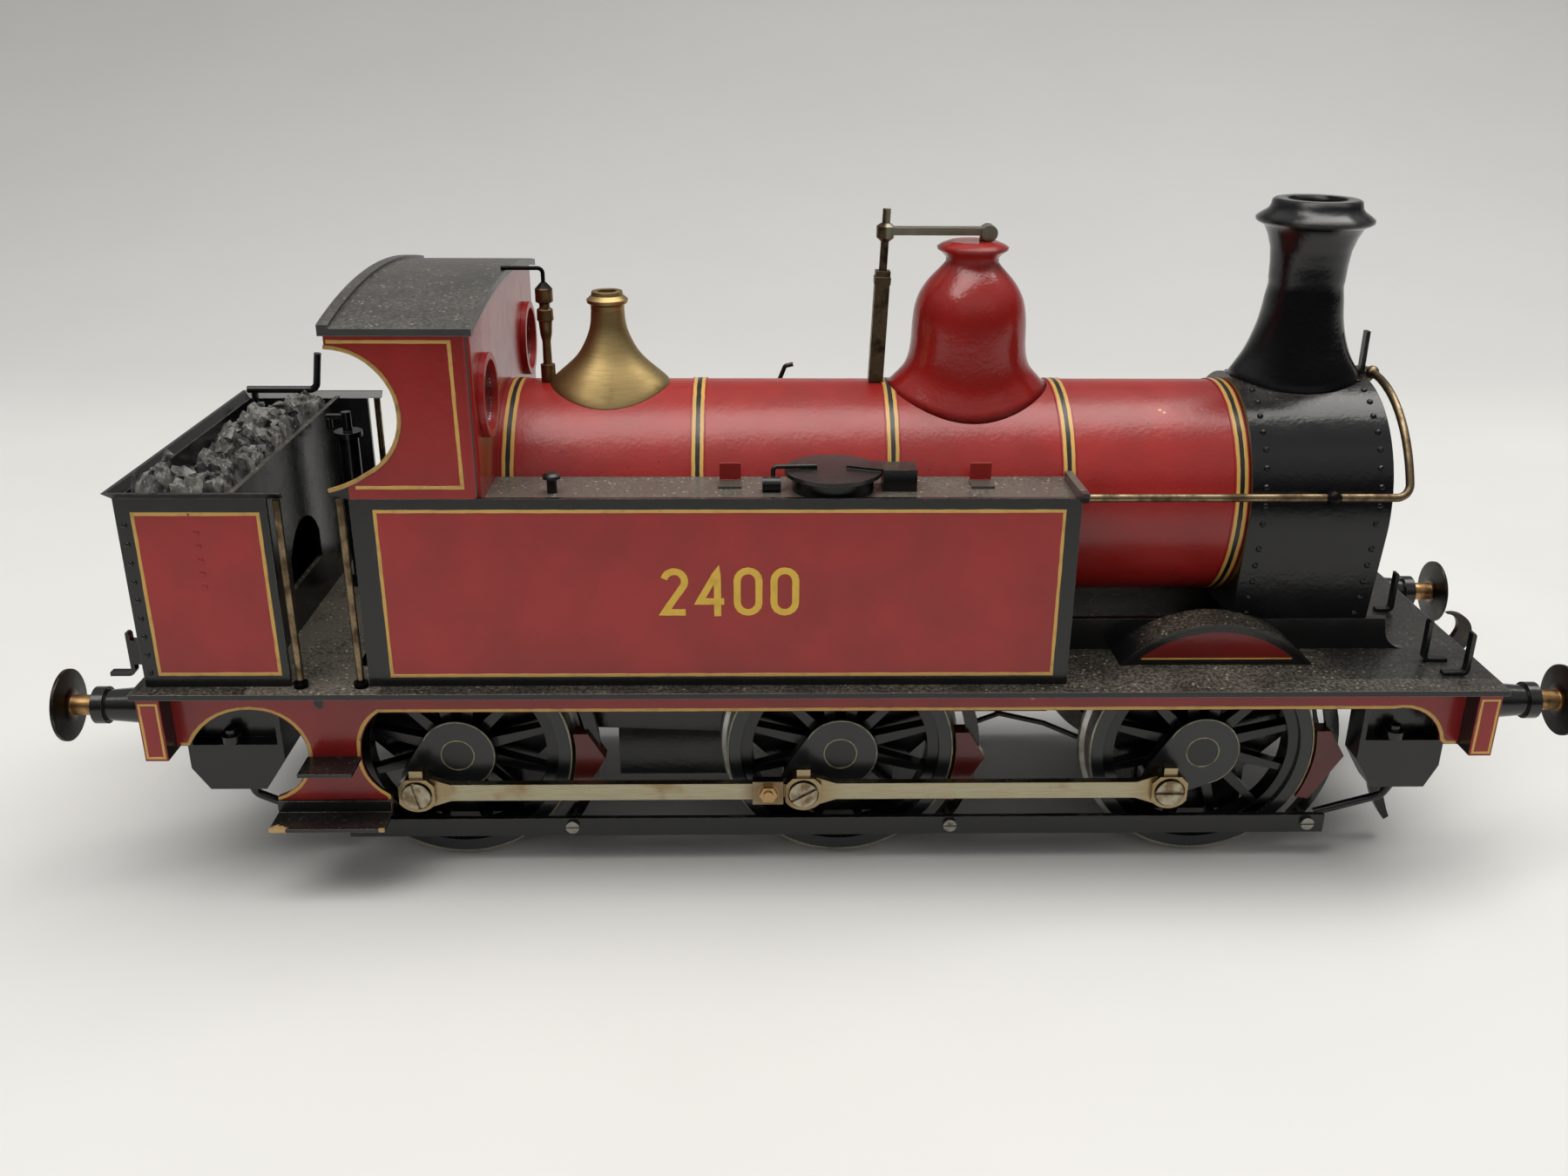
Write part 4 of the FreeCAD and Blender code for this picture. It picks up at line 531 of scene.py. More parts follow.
# the near-black patch on the cab floor beside the right tank is painted shade
footplate_paint = enamel("footplate_enamel", BLACK, zones=((floor_shade_patch, (0.002, 0.002, 0.002)),),
                         gloss=0.26, dust_and_sheen=1.0, dust_zone=footplate_dust, wear=(0.34, 0.33, 0.32),
                         wear_amount=0.68, seed=4)
step_paint = enamel("step_enamel", BLACK, gloss=0.22, dust_and_sheen=0.12, wear=(0.20, 0.19, 0.18), wear_amount=0.6,
                    spots=STEP_SPOTS, seed=5)
red = enamel("red_enamel", RED, gloss=0.30, peel=0.034, wear=(0.15, 0.05, 0.03), wear_amount=0.35,
             spots=BOILER_SPOTS, dust_and_sheen=0.05, seed=6)
red_dome = enamel("red_enamel_dome", RED_SHADED, gloss=0.17, peel=0.045, ease=1.0, wear=RED_DEEP,
                  wear_amount=0.4, seed=7)
tank_paint = enamel("tank_enamel", BLACK,
                    zones=((panel_zone(*TANK_PANEL), RED), (tank_top_zone, TANK_TOP_GREY)), gloss=0.19,
                    peel=0.012, dust_and_sheen=0.8, dust_zone=tank_top_zone, wear=(0.14, 0.12, 0.11), seed=8)
bunker_paint = enamel("bunker_enamel", BLACK,
                      zones=((panel_zone(*BUNKER_PANEL), RED), (back_panel_zone, RED)), gloss=0.20,
                      peel=0.014, wear=(0.20, 0.18, 0.16), wear_amount=0.55, seed=9)
cab_paint = enamel("cab_enamel", BLACK, zones=((cab_outside, RED_SHADED),), gloss=0.20, peel=0.016,
                   wear=(0.16, 0.05, 0.035), wear_amount=0.4, seed=10)
valance_paint = enamel("valance_enamel", BLACK, zones=((valance_outside, RED_DEEP),), gloss=0.2,
                       wear=(0.20, 0.09, 0.05), wear_amount=0.35, spots=VALANCE_SPOTS, seed=11)
beam_paint = enamel("beam_enamel", BLACK, zones=((beam_outside, RED_DEEP),), gloss=0.2,
                    wear=(0.42, 0.22, 0.09), wear_amount=0.42, seed=12)
splasher_paint = enamel("splasher_enamel", BLACK, zones=((splasher_face, (0.17, 0.010, 0.009)),), gloss=0.2,
                        dust_and_sheen=0.9, wear=(0.10, 0.09, 0.08), seed=13)
block_paint = enamel("brake_block_enamel", (0.11, 0.013, 0.012), gloss=0.22, wear=LINE_OCHRE,
                     wear_amount=0.62, seed=14)
# on the roof the pale dust on upward faces is dust and also a painted reflection of the bright room overhead
roof_paint = enamel("roof_enamel", (0.02, 0.02, 0.021), gloss=0.34, dust_and_sheen=0.5, specular=1.0,
                    wear=(0.17, 0.17, 0.17), wear_amount=0.6, seed=15)
band_paint = enamel("band_enamel", LINE_YELLOW, zones=((band_black, BLACK), (band_red, RED)), gloss=0.32,
                    wear=(0.45, 0.42, 0.36), wear_amount=0.25, seed=16)
brass_cover = metal("aged_brass", BRASS, BRASS_DARK, roughness=0.42, patina_size=6.0, amount=0.42,
                    brushed=(0.15, 0.15, 3.0), seed=1)
brass = metal("dull_brass", BRASS, BRASS_DARK, roughness=0.36, amount=0.6, seed=2)
bronze = metal("bronze_wire_finish", BRONZE_WORN, BRONZE, roughness=0.32, patina_size=2.5, amount=0.75,
               extra=rail_fittings, seed=3)
whistle_bronze = metal("whistle_bronze", (0.20, 0.125, 0.06), (0.07, 0.045, 0.025), roughness=0.36,
                       patina_size=1.6, amount=0.6, extra=whistle_wire, seed=4)
salter_bronze = metal("salter_bronze", (0.14, 0.10, 0.06), (0.035, 0.026, 0.018), roughness=0.36,
                      patina_size=1.6, amount=0.65, extra=salter_lever, seed=9)
steel = metal("turned_steel", (0.30, 0.29, 0.27), (0.12, 0.09, 0.06), roughness=0.3, patina_size=1.5,
              amount=0.4, seed=5)
dark_steel = metal("blackened_steel", STEEL_DARK, (0.10, 0.08, 0.06), roughness=0.38, patina_size=2.0,
                   seed=6)
nickel = metal("rod_nickel_silver", NICKEL, NICKEL_BROWN, roughness=0.26, patina_size=5.0, amount=0.38,
               brushed=(0.12, 1.0, 3.0), extra=brassy_ends, seed=7, grain=0.008)
motor_can = metal("plated_can", (0.52, 0.53, 0.54), (0.30, 0.28, 0.25), roughness=0.34, seed=8)
fitting_paint = enamel("fitting_enamel", BLACK, zones=((lug_upstand, RED), (lug_foot, TANK_TOP_GREY)),
                       gloss=0.30, dust_and_sheen=0.12, wear=(0.12, 0.10, 0.09), seed=17)
yellow = line_finish("lining_yellow", LINE_YELLOW, LINE_OCHRE)
ochre = line_finish("lining_ochre", LINE_OCHRE, (0.20, 0.11, 0.035))
pale_line = line_finish("lining_pale", LINE_PALE, (0.10, 0.09, 0.06))
number_yellow = line_finish("number_yellow", PALE_NUMBER, (0.60, 0.36, 0.03))
coal = coal_finish()

DRESS = {
    footplate_paint: ("footplate",),
    valance_paint: ("valances",),
    step_paint: ("cab_steps",),
    beam_paint: ("buffer_beams",),
    splasher_paint: ("splashers",),
    block_paint: ("brake_blocks",),
    roof_paint: ("cab_roof",),
    band_paint: ("boiler_bands",),
    tank_paint: ("side_tanks",),
    bunker_paint: ("bunker",),
    cab_paint: ("cab_shell",),
    red: ("boiler_barrel", "spectacle_rims"),
    red_dome: ("dome",),
    brass_cover: ("safety_valve_cover",),
    bronze: ("handrails",),
    salter_bronze: ("salter_valve",),
    whistle_bronze: ("whistle",),
    black_gloss: ("smokebox", "smokebox_door"),
    black_cast: ("chimney",),
    black_dusty: ("coal_plate", "backhead"),
    fitting_paint: ("tank_fittings",),
    black: ("main_frames", "frame_spacers", "ashpan", "buffer_housings", "sandboxes_and_pipes",
            "brake_hangers", "brake_pull_rods", "handbrake", "fire_iron", "lamp_irons"),
    brass: ("axle_bushes", "gearbox", "worm_wheel"),
    dark_steel: ("drawhooks", "pickups"),
    steel: ("chassis_screws", "worm_shaft", *(f"{corner}_buffer_spring" for corner in CORNERS)),
    nickel: ("right_coupling_rods", "left_coupling_rods"),
    motor_can: ("motor",),
    glass_finish(): ("cab_windows",),
    buffer_finish(): tuple(f"{corner}_buffer" for corner in CORNERS),
}


def dress(node, material):
    """Put one material on every slot of a CAD node."""
    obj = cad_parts[node]
    if not obj.material_slots:
        obj.data.materials.append(material)
    for slot in obj.material_slots:
        slot.material = material


for material, nodes in DRESS.items():
    for node in nodes:
        dress(node, material)
for name, x in AXLES.items():
    dress(f"{name}_wheels", wheel_paint(x))
    dress(f"{name}_axle", axle_finish(x))


# ---- new pieces ----

def piece(name, mesh, body, material):
    """Turn a finished bmesh into a named object that rides a body."""
    bmesh.ops.recalc_face_normals(mesh, faces=mesh.faces)
    data = bpy.data.meshes.new(name)
    mesh.to_mesh(data)
    mesh.free()
    data.materials.append(material)
    obj = bpy.data.objects.new(name, data)
    bpy.context.collection.objects.link(obj)
    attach(obj, body)
    return obj


def side_wall(side, y):
    """Places (x, z, height off the wall) on an upright side plane."""
    return lambda u, v, h: Vector((u, side * (y + h), v))


def end_wall(end, x):
    """Places (y, z, height off the wall) on an upright end plane."""
    return lambda u, v, h: Vector((end * (x + h), u, v))


def spaced(points, closed, step):
    """The corners of a path with points put in every step along it."""
    result = []
    pairs = list(zip(points, points[1:] + points[:1])) if closed else list(zip(points, points[1:]))
    for a, b in pairs:
        count = max(1, int(math.dist(a, b) / step))
        result += [(a[0] + (b[0] - a[0]) * i / count, a[1] + (b[1] - a[1]) * i / count)
                   for i in range(count)]
    return result if closed else result + [points[-1]]


def add_ribbon(mesh, place, path, width, closed=True, step=1.6, thick=0.05, wobble=0.12, seed=0):
    """A low raised line along a flat path, mitred at its corners and a little uneven in width."""
    dice = random.Random(seed)
    points = spaced(list(path), closed, step)
    count = len(points)
    rings = []
    for i, (u, v) in enumerate(points):
        before = points[i - 1] if closed or i else points[i]
        after = points[(i + 1) % count] if closed or i < count - 1 else points[i]
        a = Vector((u - before[0], v - before[1]))
        b = Vector((after[0] - u, after[1] - v))
        a = a.normalized() if a.length else b.normalized()
        b = b.normalized() if b.length else a
        across = Vector((-(a.y + b.y), a.x + b.x)).normalized()
        stretch = 1.0 / max(0.5, across.dot(Vector((-a.y, a.x))))
        half = width / 2 * stretch * (1 + dice.uniform(-wobble, wobble))
        drift = dice.uniform(-wobble, wobble) * width * 0.25
        ring = []
        for offset, height in ((-half, -0.03), (-half * 0.8, thick * 0.8), (0, thick),
                               (half * 0.8, thick * 0.8), (half, -0.03)):
            spot = place(u + across.x * (offset + drift), v + across.y * (offset + drift), height)
            ring.append(mesh.verts.new(spot * MM))
        rings.append(ring)
    links = list(zip(rings, rings[1:] + rings[:1])) if closed else list(zip(rings, rings[1:]))
    for first, second in links:
        for j in range(5):
            k = (j + 1) % 5
            mesh.faces.new((first[j], first[k], second[k], second[j]))
    if not closed:
        mesh.faces.new(rings[0])
        mesh.faces.new(list(reversed(rings[-1])))


def rectangle(x0, x1, z0, z1, round_by=0.0):
    """The corners of a rectangle, or its outline with rounded corners."""
    if not round_by:
        return [(x0, z0), (x1, z0), (x1, z1), (x0, z1)]
    corners = ((x1, z0, -90), (x1, z1, 0), (x0, z1, 90), (x0, z0, 180))
    points = []
    for cx, cz, start in corners:
        ox = cx - round_by if cx == x1 else cx + round_by
        oz = cz - round_by if cz == z1 else cz + round_by
        points += arc(ox, oz, round_by, start, start + 90, 5)
    return points


def arc(cx, cz, radius, start, end, count):
    """Points on a circle's arc, from start to end in degrees."""
    angles = [math.radians(start + (end - start) * i / (count - 1)) for i in range(count)]
    return [(cx + radius * math.cos(a), cz + radius * math.sin(a)) for a in angles]


def circle(cx, cz, radius, count=40):
    return arc(cx, cz, radius, 0, 360, count + 1)[:-1]


def add_dome(mesh, centre, normal, radius, height, around=10, rings=3):
    """One small round rivet head, sunk a little into the surface."""
    normal = normal.normalized()
    helper = Vector((0, 0, 1)) if abs(normal.z) < 0.9 else Vector((1, 0, 0))
    u = normal.cross(helper).normalized()
    v = normal.cross(u)
    layers = []
    for i in range(rings):
        slope = math.pi / 2 * i / rings
        r, h = radius * math.cos(slope), height * math.sin(slope)
        layer = [mesh.verts.new((centre + normal * h + u * r * math.cos(a) + v * r * math.sin(a)) * MM)
                 for a in (2 * math.pi * j / around for j in range(around))]
        layers.append(layer)
    sunk = [mesh.verts.new((vert.co - normal * 0.12 * MM)) for vert in layers[0]]
    layers.insert(0, sunk)
    top = mesh.verts.new((centre + normal * height) * MM)
    for low, high in zip(layers, layers[1:]):
        for j in range(around):
            k = (j + 1) % around
            mesh.faces.new((low[j], low[k], high[k], high[j]))
    for j in range(around):
        mesh.faces.new((layers[-1][j], layers[-1][(j + 1) % around], top))
    mesh.faces.new(list(reversed(sunk)))


def lining():
    """Painted lines on the body, one piece for each area."""
    tank, bunker, cab, valance, beam, splash = (bmesh.new() for _ in range(6))
    cab_line = [(-60.6, 76.75), (-45.95, 76.75), (-45.75, 58.4), (-59.0, 58.4)]
    splash_z = 31.8
    reach = math.sqrt((SPLASHER_R - 0.2) ** 2 - (splash_z - SPLASHER_Z) ** 2)
    splash_line = [(AXLES["front"] - reach, splash_z), (AXLES["front"] + reach, splash_z)]
    for side in SIDES.values():
        wall = side_wall(side, BODY_Y)
        add_ribbon(tank, wall, rectangle(*TANK_PANEL), 0.48, seed=1 + side)
        add_ribbon(bunker, wall, rectangle(*BUNKER_PANEL), 0.5, seed=4 + side)
        add_ribbon(cab, wall, cab_line, 0.5, closed=False, seed=7 + side)
        edge = side_wall(side, VALANCE_Y)
        add_ribbon(valance, edge, valance_edge(), 0.5, closed=False, step=1.2, seed=9 + side)
        for end in (-1, 1):
            ends = side_wall(side, BEAM_END_Y)
            inner, outer = sorted((end * 87.5, end * 89.75))
            add_ribbon(beam, ends, rectangle(inner, outer, 21.55, 29.4), 0.36, seed=12 + side)
        face = side_wall(side, SPLASHER_FACE_Y)
        add_ribbon(splash, face, splash_line, 0.26, closed=False, seed=15 + side)
    back = end_wall(-1, -BUNKER_BACK_X)
    add_ribbon(bunker, back, rectangle(*BACK_PANEL), 0.5, seed=20)
    beam_line = rectangle(-26.6, 26.6, 21.95, 29.2)
    for end in (-1, 1):
        add_ribbon(beam, end_wall(end, BEAM_FACE_X), beam_line, 0.42, seed=22 + end)
    for name, mesh in (("tank_lining", tank), ("bunker_lining", bunker), ("cab_lining", cab),
                       ("valance_lining", valance), ("beam_lining", beam), ("splasher_lining", splash)):
        piece(name, mesh, "chassis", yellow)


def through(start, via, end, count=9):
    """Points on the circle arc from start through via to end."""
    ax, ay = start
    bx, by = via
    cx, cy = end
    d = 2 * (ax * (by - cy) + bx * (cy - ay) + cx * (ay - by))
    a, b, c = ax * ax + ay * ay, bx * bx + by * by, cx * cx + cy * cy
    ux = (a * (by - cy) + b * (cy - ay) + c * (ay - by)) / d
    uy = (a * (cx - bx) + b * (ax - cx) + c * (bx - ax)) / d
    radius = math.hypot(ax - ux, ay - uy)
    a0, a1, a2 = (math.atan2(y - uy, x - ux) for x, y in (start, via, end))
    turn = (a2 - a0) % (2 * math.pi)
    if (a1 - a0) % (2 * math.pi) > turn:
        turn -= 2 * math.pi
    angles = [a0 + turn * i / (count - 1) for i in range(count)]
    return [(ux + radius * math.cos(a), uy + radius * math.sin(a)) for a in angles]


def valance_edge():
    """The valance's lower edge, just inside it."""
    straight_z = 26.8
    path = [(-86.6, 21.9), (-85.6, 21.9)]
    path += through((-85.5, 22.1), (-82.8, 25.3), (-75.2, 27.1))
    path += through((-75.0, 27.1), (-71.1, 24.8), (-69.4, 20.5))
    path += through((-69.4, 20.3), (-71.0, 15.8), (-74.4, 13.4))
    path += [(-74.4, 11.9), (-59.5, 11.9), (-59.5, 13.7)]
    path += through((-59.6, 13.8), (-62.2, 16.6), (-62.9, 21.0))
    path += through((-62.9, 21.2), (-62.0, 24.5), (-59.8, straight_z))
    path += [(77.2, straight_z)]
    path += through((77.4, straight_z), (82.9, 25.4), (84.9, 21.8))
    return path + [(85.4, 21.4), (86.8, 21.4)]


def entrance_beading():
    """A worn half-round edge round the cab's cut-out."""
    mesh = bmesh.new()
    for side in SIDES.values():
        path = through((-61.0, 76.1), (-52.75, 67.7), (-57.55, 60.1), 22)
        path += through((-57.7, 60.0), (-59.85, 58.85), (-62.4, 58.0), 8)
        add_ribbon(mesh, side_wall(side, BODY_Y), path, 0.55, closed=False, step=0.9, thick=0.16,
                   wobble=0.08, seed=30 + side)
    piece("cab_entrance_beading", mesh, "chassis", ochre)


DIGITS = {
    "2": (arc(1.95, 4.85, 1.35, 165, -25, 12) + [(0.62, 0.52), (3.35, 0.52)], False),
    "4": ([(2.75, 0.0), (2.75, 6.2), (0.45, 2.05), (3.6, 2.05)], False),
    "0": (rectangle(0.55, 3.35, 0.5, 6.3, 1.39), True),
}


def running_number(text="2400"):
    """Plain block numerals on both tank sides."""
    pitch, low, centre, margin = 4.75, 40.9, -12.5, 0.4
    for side_name, side in SIDES.items():
        mesh = bmesh.new()
        start = -pitch * len(text) / 2
        for i, digit in enumerate(text):
            path, closed = DIGITS[digit]
            spots = [(centre - side * (start + pitch * i + x + margin), low + z) for x, z in path]
            add_ribbon(mesh, side_wall(side, BODY_Y), spots, 1.0, closed=closed, step=0.5, thick=0.045,
                       wobble=0.03, seed=40 + i)
        piece(f"running_number_{side_name}", mesh, "chassis", number_yellow)


def wheel_lines():
    """Fine worn lines on each wheel: round the axle end, the boss and the tyre's edge."""
    for name, x in AXLES.items():
        mesh = bmesh.new()
        for side_name, side in SIDES.items():
            face, rim = side_wall(side, WHEEL_FACE_Y + 0.5), side_wall(side, WHEEL_FACE_Y)
            add_ribbon(mesh, face, circle(x, AXLE_Z, 2.3), 0.2, step=0.5, thick=0.03, wobble=0.3, seed=50)
            along = CRANK_DEG[side_name]
            boss_edge = arc(x, AXLE_Z, 5.14, along + 66, along + 294, 40)
            add_ribbon(mesh, face, boss_edge, 0.14, closed=False, step=0.6, thick=0.03, wobble=0.45, seed=51)
            tyre_edge = circle(x, AXLE_Z, 15.84, 90)
            add_ribbon(mesh, rim, tyre_edge, 0.15, step=0.8, thick=0.03, wobble=0.5, seed=52)
        piece(f"{name}_wheel_lines", mesh, f"{name}_wheelset", pale_line)


def smokebox_rivets():
    """Rows of rivets up both edges of the smokebox wrapper."""
    mesh = bmesh.new()
    radius, tangent_deg = 16.2, -9.4
    low_y, low_z = 14.1, 35.5
    head_r, head_h, jitter = 0.44, 0.33, 0.12
    dice = random.Random(3)
    side_y = radius * math.cos(math.radians(tangent_deg))
    side_z = BOILER_Z + radius * math.sin(math.radians(tangent_deg))
    for side in SIDES.values():
        for x in (59.1, 74.5):
            for degrees in range(-2, 82, 9):
                a = math.radians(degrees)
                normal = Vector((0, side * math.cos(a), math.sin(a)))
                spot = Vector((x + dice.uniform(-jitter, jitter), 0, BOILER_Z)) + normal * radius
                add_dome(mesh, spot, normal, head_r, head_h)
            normal = Vector((0, side * (side_z - low_z), -(side_y - low_y)))
            for i in range(5):
                t = (i + 0.35) / 5
                spot = Vector((x + dice.uniform(-jitter, jitter), side * (low_y + (side_y - low_y) * t),
                               low_z + (side_z - low_z) * t))
                add_dome(mesh, spot, normal, head_r, head_h)
    piece("smokebox_rivets", mesh, "chassis", black_gloss)


def bunker_rivets():
    """A row of rivets up the rear edge of each bunker side and round the back."""
    mesh = bmesh.new()
    for side in SIDES.values():
        for i in range(9):
            z = 33.0 + i * 2.55
            add_dome(mesh, Vector((-88.45, side * BODY_Y, z)), Vector((0, side, 0)), 0.4, 0.28)
            add_dome(mesh, Vector((BUNKER_BACK_X, side * 24.1, z)), Vector((-1, 0, 0)), 0.4, 0.28)
    piece("bunker_rivets", mesh, "chassis", black)
    bumps = bmesh.new()
    for side in SIDES.values():
        for z in (52.4, 50.6, 48.7, 46.9, 45.1):
            add_dome(bumps, Vector((-79.6, side * BODY_Y, z)), Vector((0, side, 0)), 0.42, 0.1)
    piece("bunker_panel_rivets", bumps, "chassis", red)


COAL_FLOOR = 52.6
# each heap: centre x and y, half length along x and y, top
COAL_HEAPS = ((-86.2, -19.8, 2.9, 4.8, 58.5), (-80.2, -19.2, 4.8, 5.6, 57.9),
              (-79.8, -10.0, 5.2, 7.2, 58.3), (-80.4, -1.0, 5.7, 7.8, 58.8),
              (-79.8, 6.0, 5.2, 5.0, 59.9), (-78.2, 17.6, 3.6, 5.0, 58.5))


def broken(x, y, size, tilt, drop):
    """The height that flat, tilted chips of one size add at a spot."""
    spot = Vector((x / size, y / size, 0.5))
    centre = noise.voronoi(spot)[1][0]
    lean = noise.cell_vector(centre * 7.0) - Vector((0.5, 0.5, 0.5))
    away = (spot - centre) * size
    return tilt * (lean.x * away.x + lean.y * away.y) + drop * lean.z


def coal_height(x, y):
    """How high the heap stands at a spot on the bunker."""
    best = COAL_FLOOR
    for cx, cy, rx, ry, top in COAL_HEAPS:
        away = math.hypot((x - cx) / rx, (y - cy) / ry)
        fall = min(1.0, max(0.0, (away - 0.62) / 0.55))
        best = max(best, top - (top - COAL_FLOOR) * fall * fall * (3 - 2 * fall))
    return best + broken(x, y, 2.7, 1.3, 1.5) + broken(x + 40, y, 1.3, 0.9, 0.5)


def coal_bed():
    """The heap as one crumpled closed block, its top broken into small tilted chips."""
    mesh = bmesh.new()
    x0, x1, y1, floor_z = -88.65, -75.45, 24.55, 47.05
    nx, ny = 52, 190
    dice = random.Random(11)
    grid = []
    for i in range(nx + 1):
        row = []
        for j in range(ny + 1):
            x = x0 + (x1 - x0) * i / nx
            y = -y1 + 2 * y1 * j / ny
            inside = 0 < i < nx and 0 < j < ny
            dx, dy = (dice.uniform(-0.08, 0.08), dice.uniform(-0.08, 0.08)) if inside else (0, 0)
            row.append(mesh.verts.new(Vector((x + dx, y + dy, coal_height(x, y))) * MM))
        grid.append(row)
    for i in range(nx):
        for j in range(ny):
            a, b, c, d = grid[i][j], grid[i + 1][j], grid[i + 1][j + 1], grid[i][j + 1]
            if dice.random() < 0.5:
                mesh.faces.new((a, b, c))
                mesh.faces.new((a, c, d))
            else:
                mesh.faces.new((a, b, d))
                mesh.faces.new((b, c, d))
    border = [grid[i][0] for i in range(nx + 1)] + [grid[nx][j] for j in range(1, ny + 1)]
    border += [grid[i][ny] for i in range(nx - 1, -1, -1)] + [grid[0][j] for j in range(ny - 1, 0, -1)]
    low = [mesh.verts.new((v.co.x, v.co.y, floor_z * MM)) for v in border]
    for k in range(len(border)):
        n = (k + 1) % len(border)
        mesh.faces.new((border[k], border[n], low[n], low[k]))
    mesh.faces.new(low)
    bed = piece("coal_bed", mesh, "chassis", coal)
    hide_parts("coal_load")


def coal_lumps(count=90):
    """Loose broken lumps, each a small hull of random points."""
    mesh = bmesh.new()
    dice = random.Random(5)
    for _ in range(count):
        size = dice.uniform(0.5, 1.35)
        x = dice.uniform(-86.0, -76.6)
        y = dice.uniform(-22.5, 21.5)
        top = coal_height(x, y)
        centre = Vector((x, y, top + size * dice.uniform(-0.25, 0.35)))
        corners = []
        for _ in range(11):
            way = Vector((dice.gauss(0, 1), dice.gauss(0, 1), dice.gauss(0, 0.75))).normalized()
            corners.append(mesh.verts.new((centre + way * size * dice.uniform(0.75, 1.0)) * MM))
        hull = bmesh.ops.convex_hull(mesh, input=corners, use_existing_faces=False)
        spare = [g for g in hull["geom_interior"] if isinstance(g, bmesh.types.BMVert)]
        bmesh.ops.delete(mesh, geom=spare, context="VERTS")
    piece("coal_lumps", mesh, "chassis", coal)


def stage():
    """A pale table top that sweeps gently up, far behind, into a pale wall."""
    mesh = bmesh.new()
    half, sweep_y, sweep = 2600.0, 215.0, 1400.0
    profile = [(-half, 0.0), (sweep_y, 0.0)]
    for i in range(1, 25):
        a = math.pi / 2 * (i / 24) ** 1.5
        profile.append((sweep_y + sweep * math.sin(a), sweep * (1 - math.cos(a))))
    columns = [[mesh.verts.new(Vector((x, y, z)) * MM) for y, z in profile] for x in (-half, half)]
    for i in range(len(profile) - 1):
        mesh.faces.new((columns[0][i], columns[1][i], columns[1][i + 1], columns[0][i + 1]))
    data = bpy.data.meshes.new("pale_floor")
    mesh.to_mesh(data)
    mesh.free()
    for face in data.polygons:
        face.use_smooth = True
    s = Shader("pale_floor_paint")
    back = s.step(s.y, 190.0, 300.0)
    tone = s.mix(back, mottled(s, FLOOR, 0.015, 120.0), mottled(s, WALL, 0.015, 160.0))
    # painted reflection: seen by glossy rays, the floor in front of the camera turns near black, a dark
    # surround for the engine's reflections
    reflected = s.add("ShaderNodeLightPath").outputs["Is Glossy Ray"]
    tone = s.mix(s.both(reflected, s.step(s.y, -120.0, -420.0)), tone, (0.02, 0.02, 0.02))
    rough = s.calc("MULTIPLY_ADD", s.cloud(30.0), 0.2, 0.5)
    data.materials.append(s.finish(tone, rough, s.bump(s.cloud(3.0, 4.0), 0.03)))
    floor = bpy.data.objects.new("pale_floor", data)
    bpy.context.collection.objects.link(floor)


def area_light(name, spot, target, size, power, colour):
    """A soft panel at a spot, turned to a target; its size is in metres."""
    data = bpy.data.lights.new(name, "AREA")
    data.shape = "RECTANGLE"
    data.size, data.size_y = size
    data.energy = power
    data.color = colour
    light = bpy.data.objects.new(name, data)
    light.location = Vector(spot) * MM
    light.rotation_euler = (Vector(target) - Vector(spot)).to_track_quat("-Z", "Y").to_euler()
    bpy.context.collection.objects.link(light)


def world_strength(tree, up, low, high):
    """A brightness that rises from low at the horizon to high overhead."""
    height = tree.nodes.new("ShaderNodeMapRange")
    height.interpolation_type = "SMOOTHSTEP"
    tree.links.new(up, height.inputs["Value"])
    for name, value in (("From Min", 0.05), ("From Max", 0.85), ("To Min", low), ("To Max", high)):
        height.inputs[name].default_value = value
    return height.outputs[0]


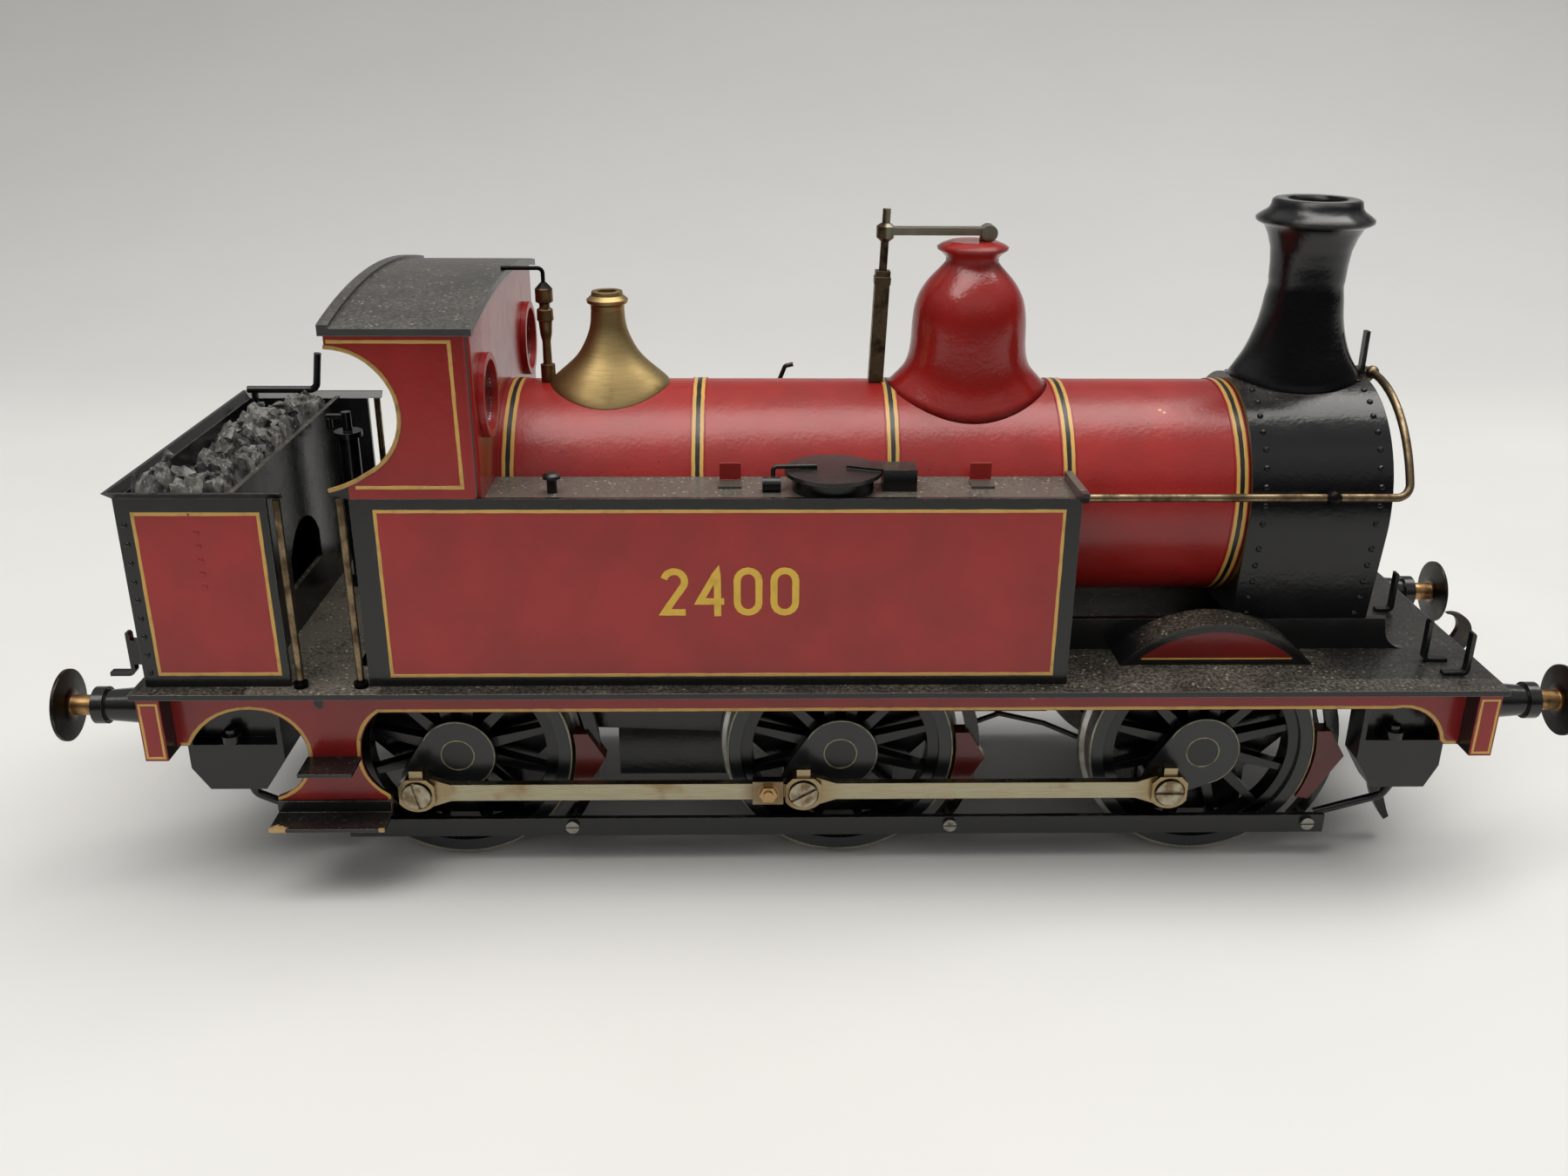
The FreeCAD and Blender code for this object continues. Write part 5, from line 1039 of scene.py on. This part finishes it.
def pale_room():
    """A pale world, dim near the horizon, and plain behind the stage."""
    world = bpy.data.worlds.new("pale_room")
    world.use_nodes = True
    tree = world.node_tree
    ray = tree.nodes.new("ShaderNodeLightPath")
    place = tree.nodes.new("ShaderNodeTexCoord")
    split = tree.nodes.new("ShaderNodeSeparateXYZ")
    tree.links.new(place.outputs["Generated"], split.inputs[0])
    strength = world_strength(tree, split.outputs[2], 0.16, 0.36)
    reflected = tree.nodes.new("ShaderNodeMix")
    tree.links.new(ray.outputs["Is Glossy Ray"], reflected.inputs[0])
    tree.links.new(strength, reflected.inputs[2])
    tree.links.new(world_strength(tree, split.outputs[2], 0.03, 0.55), reflected.inputs[3])
    seen = tree.nodes.new("ShaderNodeMix")
    tree.links.new(ray.outputs["Is Camera Ray"], seen.inputs[0])
    tree.links.new(reflected.outputs[0], seen.inputs[2])
    seen.inputs[3].default_value = 0.62
    background = tree.nodes["Background"]
    background.inputs["Color"].default_value = (1.0, 0.99, 0.955, 1.0)
    tree.links.new(seen.outputs[0], background.inputs["Strength"])
    bpy.context.scene.world = world


def lights():
    """A long overhead softbox, a weak fill from the front and the pale room."""
    area_light("overhead_softbox", (15, -50, 850), (-10, -10, 0), (1.5, 0.42), 9.4, (1.0, 0.985, 0.94))
    area_light("front_fill", (150, -800, 650), (0, 0, 30), (1.4, 0.5), 0.4, (1.0, 0.99, 0.95))
    pale_room()
    bpy.context.scene.view_settings.view_transform = "Standard"


def camera():
    """The viewing angle: focal length and width in picture units, angles in radians."""
    focal, picture_width, sensor = 1612.86, 1800.0, 36.0
    yaw, pitch, roll = 0.021, 0.385, 0.006
    spot = Vector((-9.044, -193.295, 112.894))
    forward = Vector((math.sin(yaw) * math.cos(pitch), math.cos(yaw) * math.cos(pitch), -math.sin(pitch)))
    level = Vector((math.cos(yaw), -math.sin(yaw), 0.0))
    upright = level.cross(forward)
    right = math.cos(roll) * level + math.sin(roll) * upright
    up = -math.sin(roll) * level + math.cos(roll) * upright
    data = bpy.data.cameras.new("photo_camera")
    data.sensor_width = sensor
    data.lens = focal * sensor / picture_width
    data.clip_start = 0.005
    obj = bpy.data.objects.new("photo_camera", data)
    turn = Matrix((right, up, -forward)).transposed().to_4x4()
    obj.matrix_world = Matrix.Translation(spot * MM) @ turn
    bpy.context.collection.objects.link(obj)
    bpy.context.scene.camera = obj


camera()
stage()
lights()
lining()
entrance_beading()
running_number()
wheel_lines()
smokebox_rivets()
bunker_rivets()
coal_bed()
coal_lumps()
